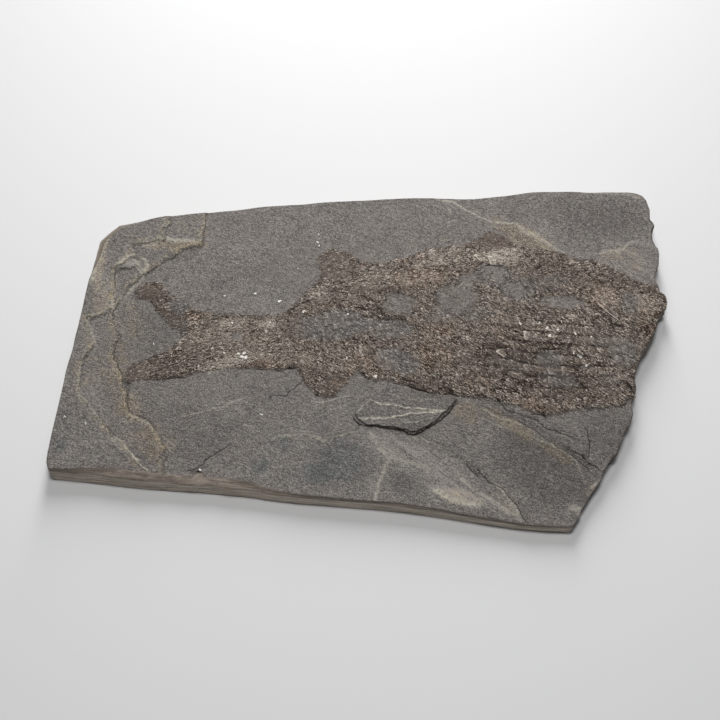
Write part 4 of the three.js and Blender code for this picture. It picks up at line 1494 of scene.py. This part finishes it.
def lay_plates(name, pattern, plates, lift=0.0):
    """One mesh of many plates, each a row of the plate numbers in their order."""
    points, faces, crest = pattern
    x, y, turn, length, width, height, tip, roll, tone = plates.T[:, :, None]
    u = points[None, :, 0] * length
    v = points[None, :, 1] * width
    c, s = np.cos(turn), np.sin(turn)
    px, py = x + u * c - v * s, y + u * s + v * c
    seat = bed_height(plates[:, 0], plates[:, 1])[:, None]
    buried = points[None, :, 2] == BURIED
    rise = np.where(buried, -ROOT_DEPTH, lift + points[None, :, 2] * height - tip * u + roll * v)
    pz = np.minimum(seat + rise, CEILING)
    solid = np.stack([px, py, pz], 2).reshape(-1, 3)
    count = len(plates)
    all_faces = (faces[None] + len(points) * np.arange(count)[:, None, None]).reshape(-1, 3)
    piece = make_piece(name, solid, [(all_faces, 0)], {
        "tone": np.repeat(plates[:, 8], len(points)),
        "crest": np.tile(crest, count),
        **{key: np.repeat(value, len(points))
           for key, value in fossil_numbers(plates[:, 0], plates[:, 1]).items()},
    })
    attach(piece, "root")
    return piece


print("numbers for each plate:", ", ".join(PLATE_NUMBERS))

# %% [markdown]
# ## Enamel and bone
#
# Fossil enamel is dark umber where it is fresh, and turns tan and then cream as it weathers. The face
# of a plate takes the crust's own colour, shifted by the plate's tone. The crest is cream, partly wear
# and partly a painted highlight, but only in places, so that it glints as a broken line and doesn't
# outline every scale.

# %% Finish of the plates
ENAMEL = [
    (0.0, (0.014, 0.009, 0.007)), (0.3, (0.056, 0.039, 0.030)), (0.55, (0.125, 0.094, 0.074)),
    (0.78, (0.300, 0.252, 0.208)), (1.0, (0.720, 0.680, 0.610)),
]
CREST_WEAR_AND_HIGHLIGHT = (0.60, 0.545, 0.475)


def enamel_finish(name, own_colour):
    """The crust's colour with a share of the plate's own enamel, and a cream crest of wear and painted
    highlight.
    """
    b = Bench(name)
    crust, _ = crust_recipe(b)
    wear = b.noise(0.5, 3, 0.65)
    tone = off_centre(b, wear, 0.6, b.number("tone"))
    colour = b.mix(own_colour, crust, b.ramp(tone, ENAMEL))
    # the cream along the crest: wear broken up by noise, and a painted highlight
    wear_and_light = off_centre(b, wear, 1.3, b.number("crest"))
    wear_and_light = b.sums("MULTIPLY", b.soft_step(wear_and_light, 0.6, 1.15), b.soft_step(b.number("tone"), 0.26, 0.85))
    colour = b.mix(b.sums("MULTIPLY", wear_and_light, 0.85), colour, CREST_WEAR_AND_HIGHLIGHT)
    relief = b.bump(b.noise(0.7, 4, 0.6), 0.12)
    return b.done(colour, off_centre(b, wear, 0.4, 0.6), relief, Specular_IOR_Level=0.3)


enamel = enamel_finish("scale_enamel", 0.33)
bone = enamel_finish("bone", 0.7)

# %% [markdown]
# ## Mail of the flank
#
# Before the scales are laid, a few helpers say where a plate may lie and how light it is. Plates stay
# off the rim of the slab, and off the cracks, so that the gaps stay open. Most are close to the tone of
# the crust. More of them are light in the tan zones, and a few anywhere are cream, partly weathered
# enamel and partly painted glints.

# %% Tones and clear ground
rim_outline = [tuple(point) for point in rim[::8]]
CREAM = [
    ((-50, -7.4), (14, 3.2), 14, 0.6), ((-33, 9.5), (6, 3.5), 0, 0.45), ((63, 5), (9, 4), 0, 0.25),
    ((48, 37), (11, 3.5), 0, 0.3), ((-38, -3), (7, 4), 0, 0.3), ((-47, 9.5), (6, 2.5), 0, 0.25),
    ((30, -17.5), (8, 2), -15, 0.3), ((76, -5), (4, 4), 0, 0.3), ((86, 17), (5, 5), -40, 0.2),
]


def draw_tones(x, y, rng, base, glints=1.0):
    """A tone for each plate: lighter in the tan zones, with a few cream ones anywhere as weathered enamel
    and painted glints.
    """
    tan = np.clip(zone(x, y, TAN), 0, 1.2)
    tone = base + 0.12 * rng.standard_normal(len(x)) + 0.16 * tan
    cream = rng.random(len(x)) < glints * (0.02 + 0.08 * tan + zone(x, y, CREAM))
    return np.clip(np.where(cream, 0.72 + 0.28 * rng.random(len(x)), tone), 0.0, 1.0)


def on_slab(x, y, margin):
    """True for places at least `margin` mm inside the rim."""
    return depth_inside(x, y, rim_outline) > margin


def off_cracks(x, y, clear):
    """True for places that stay clear of the cracks, so that the gaps stay open."""
    across, near, _ = nearest_lines(*wandering(x, y), DARK_LINES)
    line_width = np.abs(near / np.maximum(np.abs(across), 1e-3))
    return near > clear * line_width * 1.2


print("points in the rim that plates stay inside:", len(rim_outline))

# %% [markdown]
# The rows of scales follow the body: every row runs from the snout to the tail, and they crowd together
# where the body narrows. So the rows are laid between the line of the back and the line of the belly,
# as shares of the distance between them. Scales are left out where the fish is bald, and at random
# elsewhere.

# %% Rows between back and belly
ROW_LEAN = 5
SCALE_TONE, SCALE_GLINTS = 0.34, 0.3
rng = np.random.default_rng(11)
flank = []
for row in range(SCALE_ROWS):
    share = (row_edges[row] + row_edges[row + 1]) / 2
    at = -63.0
    while at < 97:
        low, high = body_edges(at)
        tall = (high - low) * (row_edges[row + 1] - row_edges[row])
        long = 0.5 + 0.5 * min(tall, 4.2)
        leaning = at - ROW_LEAN * (share - 0.5) * (high - low) / 50
        flank.append((leaning, low + share * (high - low), long, tall))
        at += long
flank = np.array(flank)
fx, fy, long, tall = flank.T
patchy = rough_hills(fx, fy, 7, 3, 130)
calm = np.clip(zone(fx, fy, VELVET), 0, 1)
chance = 0.72 - 1.1 * bald(fx, fy) - 0.5 * ease(patchy, 0.0, 0.8) - 0.7 * calm
kept = rng.random(len(fx)) < np.clip(chance, 0, 1)
kept &= off_cracks(fx, fy, 1.0)
kept &= depth_inside(fx, fy, BODY) > 0.3
kept &= on_slab(fx, fy, 1.6)
fx, fy, long, tall = fx[kept], fy[kept], long[kept], tall[kept]
count = len(fx)
steep = fossil_numbers(fx, fy)["back_grain"]
scale_plates = np.column_stack([
    fx + rng.normal(0, 0.18, count) * long,
    fy + rng.normal(0, 0.12, count) * tall,
    rng.normal(0.0, 0.28, count) + 0.5 * steep - 0.2,
    long * rng.uniform(0.85, 1.35, count),
    tall * rng.uniform(0.5, 0.85, count),
    rng.uniform(0.14, 0.34, count) * np.clip(long / 2, 0.5, 1.2),
    rng.normal(0.02, 0.06, count),
    rng.normal(0.04, 0.07, count),
    draw_tones(fx, fy, rng, SCALE_TONE, SCALE_GLINTS),
])
print("scales on the flank:", count)
lay_plates("flank_scales", SCALE, scale_plates).data.materials.append(enamel)

# %% [markdown]
# ## Splinters
#
# Most of what glitters on the fossil isn't whole scales but their broken rims: thin bent splinters
# standing on edge. They lie at the local slant of the mail, with some at any angle, and they gather in
# clumps. They are dealt out at random and kept where the zones ask for them.

# %% Splinters over the whole fish
def scatter_splinters(seed, tries, low, high, size, density):
    """Rows for splinters inside a box, thinned by the zones."""
    rng = np.random.default_rng(seed)
    x, y = rng.uniform(low[0], high[0], tries), rng.uniform(low[1], high[1], tries)
    local = fossil_numbers(x, y)
    chance = density * (1 + 0.9 * local["tan"]) * (1 - 0.9 * bald(x, y)) * (1 - 0.45 * local["grey_mail"])
    chance *= 1 - 0.8 * np.clip(local["velvet"], 0, 1)
    in_gap = 1 - ease(np.abs((local["mail_row"] + 0.5) % 1 - 0.5), 0.08, 0.2)
    chance *= 1 - 0.75 * in_gap * local["flank"]
    chance *= 0.25 + 1.1 * ease(rough_hills(x, y, 4, 3, seed + 1), -0.5, 0.5)
    chance *= ease(depth_inside(*wandering(x, y), BODY), -0.5, 1.0)
    kept = (rng.random(tries) < chance) & on_slab(x, y, 1.4) & off_cracks(x, y, 0.8)
    x, y = x[kept], y[kept]
    count = len(x)
    slant = math.radians(LEANS_BACK) + math.radians(50) * local["back_grain"][kept]
    slant = np.where(x < -26, slant * 0.3 + 0.1, slant)
    stray = rng.random(count) < 0.3
    turn = np.where(stray, rng.uniform(-1.6, 1.6, count), slant + rng.normal(0, 0.6, count))
    turn += math.pi * (rng.random(count) < 0.5)
    length = size * rng.uniform(0.5, 1.35, count)
    # splinters are darker where the steep places get painted shade
    tone = np.clip(draw_tones(x, y, rng, 0.5) - 0.1 * local["steep_shade"][kept], 0, 1)
    return np.column_stack([
        x, y, turn, length, length * rng.uniform(0.12, 0.22, count), rng.uniform(0.12, 0.34, count),
        np.zeros(count), np.zeros(count), tone,
    ])


# each: seed, tries, the box's low and high corners, length in mm, density
splinters = {
    "splinters_head": scatter_splinters(21, 17000, (40, -30), (108, 46), 1.9, 0.62),
    "splinters_flank": scatter_splinters(31, 15000, (-26, -20), (40, 42), 1.7, 0.62),
    "splinters_tail": scatter_splinters(41, 12000, (-84, -16), (-26, 26), 1.15, 0.7),
}
for name, rows in splinters.items():
    print(len(rows), "splinters:")
    lay_plates(name, SPLINTER, rows, lift=0.12).data.materials.append(enamel)

# %% [markdown]
# ## Crumbs between the scales
#
# Where the mail broke up, its pieces also lie as crumbs: on the tail root, between the scales and
# strewn a little way over the stone. They are smaller plates, scattered over the fish's outline and
# thinning out beyond it.

# %% Scattered crumbs
rng = np.random.default_rng(12)
cx, cy = rng.uniform(-86, 109, 15000), rng.uniform(-30, 50, 15000)
depth = depth_inside(*wandering(cx, cy), BODY)
patchy = rough_hills(cx, cy, 5, 3, 131)
calm = np.clip(zone(cx, cy, VELVET), 0, 1)
chance = 0.45 * ease(depth, -0.8, 1.2) * (1 - 0.95 * bald(cx, cy)) * ease(patchy, -0.8, 0.3)
chance *= 1 - 0.7 * calm
kept = (rng.random(len(cx)) < chance + 0.015 * ease(depth, -6, 0)) & on_slab(cx, cy, 1.2)
kept &= off_cracks(cx, cy, 0.8)
cx, cy = cx[kept], cy[kept]
count = len(cx)
crumb_size = rng.uniform(0.45, 1.0, count)
crumb_plates = np.column_stack([
    cx, cy, rng.uniform(-3, 3, count), crumb_size * rng.uniform(1.0, 1.7, count),
    crumb_size * rng.uniform(0.5, 0.9, count), rng.uniform(0.08, 0.2, count),
    rng.normal(0, 0.1, count), rng.normal(0, 0.1, count), draw_tones(cx, cy, rng, 0.38),
])
print("crumbs:", count)
lay_plates("scale_crumbs", CHIP, crumb_plates).data.materials.append(enamel)

# %% [markdown]
# ## Fins and loose bones
#
# A fin ray is a string of tiny bones. On this slab the two lobes of the tail, the fin on the back, a
# dark scrap of fin further forward and the fin under the belly are left as such strings, so close
# together that they read as brown velvet. A fin is a fan between two lines, its root and its tip, and
# each ray is strung from flat splinters with gaps where one has been lost.

# %% Fans of rays
FINS = [
    ("upper tail lobe", [(-64, 12), (-62, 7)], [(-82, 25), (-77, 16)], 24),
    ("lower tail lobe", [(-60, 1), (-58, -8)], [(-80, -5), (-83, -14)], 24),
    ("back fin", [(-22, 22), (2, 33)], [(-17.5, 38), (-4, 39)], 24),
    ("forward scrap", [(34, 40), (57, 41)], [(45, 48), (47, 48)], 24),
    ("belly fin", [(-22, -12), (-5, -12)], [(-17, -19), (-11, -19.5)], 18),
]
RAY_STEP, RAY_WIDTH = 1.2, 0.26
rng = np.random.default_rng(13)
segments = []
for fin, (root_a, root_b), (tip_a, tip_b), rays in FINS:
    for share in np.linspace(0, 1, rays):
        root = np.array(root_a) * (1 - share) + np.array(root_b) * share
        tip = np.array(tip_a) * (1 - share) + np.array(tip_b) * share
        span = tip - root
        length = float(np.hypot(*span))
        turn = math.atan2(span[1], span[0])
        for step in np.arange(0.2, length, RAY_STEP):
            if rng.random() < 0.35:
                continue
            place = root + span * (step / length) + rng.normal(0, 0.2, 2)
            tone = 0.3 + rng.normal(0, 0.06) + (0.4 if rng.random() < 0.02 else 0)
            height = rng.uniform(0.02, 0.06)
            slant = turn + rng.normal(0, 0.2)
            segments.append((*place, slant, RAY_STEP, RAY_WIDTH, height, 0, 0, tone))
    print(fin, "has", rays, "rays")
segments = np.array(segments)
on_fin = depth_inside(*wandering(segments[:, 0], segments[:, 1]), BODY) > -0.3
print("ray segments:", int(on_fin.sum()))
lay_plates("fin_rays", SPLINTER, segments[on_fin]).data.materials.append(enamel)

# %% [markdown]
# The cheek is edged by two long ridges of bone, and a few spines lie loose on the grey stone above the
# flank. Each is a line of overlapping splinters, nearly straight ones this time, so that the ridge runs
# on without a break.

# %% Loose bones
BONES = [
    ([(79, 22.5), (81.6, 18), (85.2, 13.5), (90.5, 8.8)], 0.9, 0.95),
    ([(81.5, 22), (84.3, 17.4), (87.6, 13), (92, 9.4)], 0.7, 0.85),
    ([(97, 12.5), (96.8, 16), (98.2, 19.4), (102, 21)], 0.6, 0.7),
    ([(104, 22.5), (107, 20.5), (107.2, 17), (105.5, 14.8)], 0.7, 0.65),
    ([(91.5, 8), (95.5, 7), (100, 8.6)], 0.6, 0.65),
    ([(43.8, 28.5), (45, 26.8), (46.6, 26.2)], 0.4, 0.85), ([(45.2, 29), (46.4, 27.2)], 0.35, 0.8),
    ([(44.6, 22), (45.2, 19.5), (44.6, 17)], 0.5, 0.8), ([(53.4, 18.6), (54.2, 15.8)], 0.45, 0.9),
    ([(51.4, 33.2), (51.7, 31), (52.2, 29)], 0.55, 0.7), ([(55.6, 34.2), (57.6, 31.6)], 0.4, 0.9),
    ([(56.8, 34.2), (58.2, 32.2)], 0.35, 0.85), ([(31.8, 22.6), (33.8, 24.6), (35.2, 26.4)], 0.5, 0.85),
    ([(26.8, 21.4), (28.2, 19.8)], 0.5, 0.8), ([(42.6, 13.6), (44.6, 13), (46, 14)], 0.5, 0.9),
    ([(46.4, 14), (48.4, 12.6)], 0.45, 0.9), ([(25, 5.6), (25.6, 2.8), (27.4, 1.6)], 0.5, 0.95),
    ([(39.5, 1.4), (40.2, -1.4), (39.8, -4)], 0.6, 0.8), ([(55.8, 12), (58.4, 11.4)], 0.5, 0.85),
    ([(80.8, 32.4), (81.4, 29.8)], 0.4, 0.9), ([(82, 32.6), (82.4, 30.2)], 0.35, 0.8),
]
strung = []
for line, width, tone in BONES:
    steps = np.hypot(*np.diff(np.array(line), axis=0).T).sum()
    path = walk(line, max(2, int(steps / 1.0)))
    for a, c in zip(path[:-1], path[1:]):
        turn = math.atan2(c[1] - a[1], c[0] - a[0])
        length = 1.5 * float(np.hypot(*(c - a)))
        strung.append((*((a + c) / 2), turn + rng.normal(0, 0.1), length, width,
                       rng.uniform(0.22, 0.34), 0, 0, tone + rng.normal(0, 0.08)))
lay_plates("loose_bones", splinter_pattern(0.12), np.array(strung)).data.materials.append(bone)

# %% [markdown]
# ## White specks
#
# A few crumbs of white calcite lie on the slab: one larger grain at the tail root, a little trail above
# the back fin and single grains elsewhere, each given as x, y and size. They are the brightest things
# on the stone, so they have a plain white finish of their own.

# %% Calcite
SPECKS = [
    (-42.6, -4.2, 2.3), (-44.6, -3.4, 1.5), (-50, -3, 1.2), (-54.4, -1.1, 1.1), (-58.6, -8, 1.2),
    (-17.9, 43.4, 1.1), (-17.7, 46.8, 0.8), (-17.2, 42, 1.0), (-25, 32, 0.6), (-51, 20.6, 0.7),
    (-40.2, 21.4, 1.2), (-31.3, 18.1, 1.5), (-6.6, 12.8, 1.1), (-22.3, 13.9, 1.3), (-7, -5, 1.0),
    (3, -12, 1.5), (-35.6, 5.5, 1.0), (-34.4, 9.4, 1.0), (-47.6, 9.4, 1.0), (-75, 0.8, 0.8),
    (-103.1, -27.8, 0.8), (-95.7, -30.6, 0.9), (-100.2, -14, 0.6), (-56, -47, 1.2), (-36.2, -26.6, 0.9),
    (72, -3.3, 1.2), (74.8, -4.8, 1.6), (76.6, -8.4, 1.3), (73.4, 4.6, 1.3), (64.6, 3.4, 1.4),
    (63.8, 6.8, 1.1), (61, 9, 1.0), (54.2, 8.4, 0.9), (79, 3, 1.0), (69, 9.4, 0.9), (67.4, 6, 0.8),
]
GRAINS_PER_SPECK = 3
rng = np.random.default_rng(14)
grains = []
for x, y, size in SPECKS:
    for _ in range(GRAINS_PER_SPECK):
        grains.append((
            x + rng.normal(0, 0.2) * size, y + rng.normal(0, 0.2) * size, rng.uniform(-3, 3),
            size * rng.uniform(0.45, 0.8), size * rng.uniform(0.3, 0.55), rng.uniform(0.15, 0.3),
            rng.normal(0, 0.1), rng.normal(0, 0.1), rng.uniform(0.85, 1.0),
        ))


def calcite_finish():
    b = Bench("calcite")
    grain = b.noise(0.6, 3, 0.6)
    white = b.ramp(grain, [(0.3, (0.52, 0.49, 0.44)), (0.6, (0.86, 0.84, 0.80))])
    return b.done(white, 0.45, b.bump(grain, 0.15), Specular_IOR_Level=0.5)


specks = lay_plates("calcite_specks", CHIP, np.array(grains), lift=0.15)
specks.data.materials.append(calcite_finish())

# %% [markdown]
# ## Table, light and camera
#
# The slab lies on a plain pale table, which is only the stage for it: it isn't part of the object.

# %% Table
TABLE_SIZE = 6


def table_finish():
    b = Bench("white_table")
    tint = b.mix(b.noise(300, 2, 0.5), (0.625, 0.625, 0.627), (0.645, 0.645, 0.647))
    return b.done(tint, 0.7, b.bump(b.noise(5, 2, 0.5), 0.02), Specular_IOR_Level=0.2)


bpy.ops.mesh.primitive_plane_add(size=TABLE_SIZE, location=(0, 0, 0))
table = bpy.context.object
table.name = "table"
table.data.materials.append(table_finish())
print("table:", TABLE_SIZE, "m wide")

# %% [markdown]
# A narrow window light hangs behind the slab. It throws the soft shadow under the front edge, picks out
# the relief of the scales, and makes the far side of the table the brightest. A lamp above and a faint
# white sky fill in the front. Places are in metres, and strengths in watts.

# %% Light
def soft_light(name, place, aim, wide, tall, watts):
    """A light panel facing a point."""
    light = bpy.data.lights.new(name, "AREA")
    light.shape = "RECTANGLE"
    light.size = wide
    light.size_y = tall
    light.energy = watts
    panel = bpy.data.objects.new(name, light)
    panel.location = place
    facing = panel.location - type(panel.location)(aim)
    panel.rotation_euler = facing.to_track_quat("Z", "Y").to_euler()
    bpy.context.scene.collection.objects.link(panel)
    return panel


soft_light("window", place=(0.0, 0.45, 0.34), aim=(0, 0.09, 0), wide=0.14, tall=0.62, watts=3.75)
soft_light("lamp", place=(0, -0.08, 0.70), aim=(0, 0, 0), wide=0.14, tall=0.14, watts=2.35)
SKY_STRENGTH = 0.11
sky = bpy.data.worlds.new("sky")
sky.use_nodes = True
backdrop = sky.node_tree.nodes["Background"]
backdrop.inputs["Color"].default_value = (1.0, 1.0, 1.0, 1)
backdrop.inputs["Strength"].default_value = SKY_STRENGTH
bpy.context.scene.world = sky
bpy.context.scene.view_settings.view_transform = "Standard"
print("lights:", [light.name for light in bpy.data.lights], "and a sky of", SKY_STRENGTH)

# %% [markdown]
# The camera looks down at a steep angle, the way one leans over a drawer, and its lens is a long one,
# so that the slab keeps its true shape. It is placed from the point that it aims at, which lies on the
# bed a little in front of the slab's middle.

# %% Camera
AIM = (-2.4 * MM, -5.4 * MM, 8.6 * MM)
LOOK_DOWN = math.radians(62)
DISTANCE = 470 * MM
FIELD_OF_VIEW = math.radians(30)
lens = bpy.data.cameras.new("camera")
lens.sensor_width = 36
lens.angle = FIELD_OF_VIEW
lens.clip_start = 0.01
camera = bpy.data.objects.new("camera", lens)
camera.location = (
    AIM[0],
    AIM[1] - DISTANCE * math.cos(LOOK_DOWN),
    AIM[2] + DISTANCE * math.sin(LOOK_DOWN),
)
camera.rotation_euler = (math.radians(90) - LOOK_DOWN, 0, 0)
bpy.context.scene.collection.objects.link(camera)
bpy.context.scene.camera = camera
print("camera in mm:", [round(v / MM) for v in camera.location])
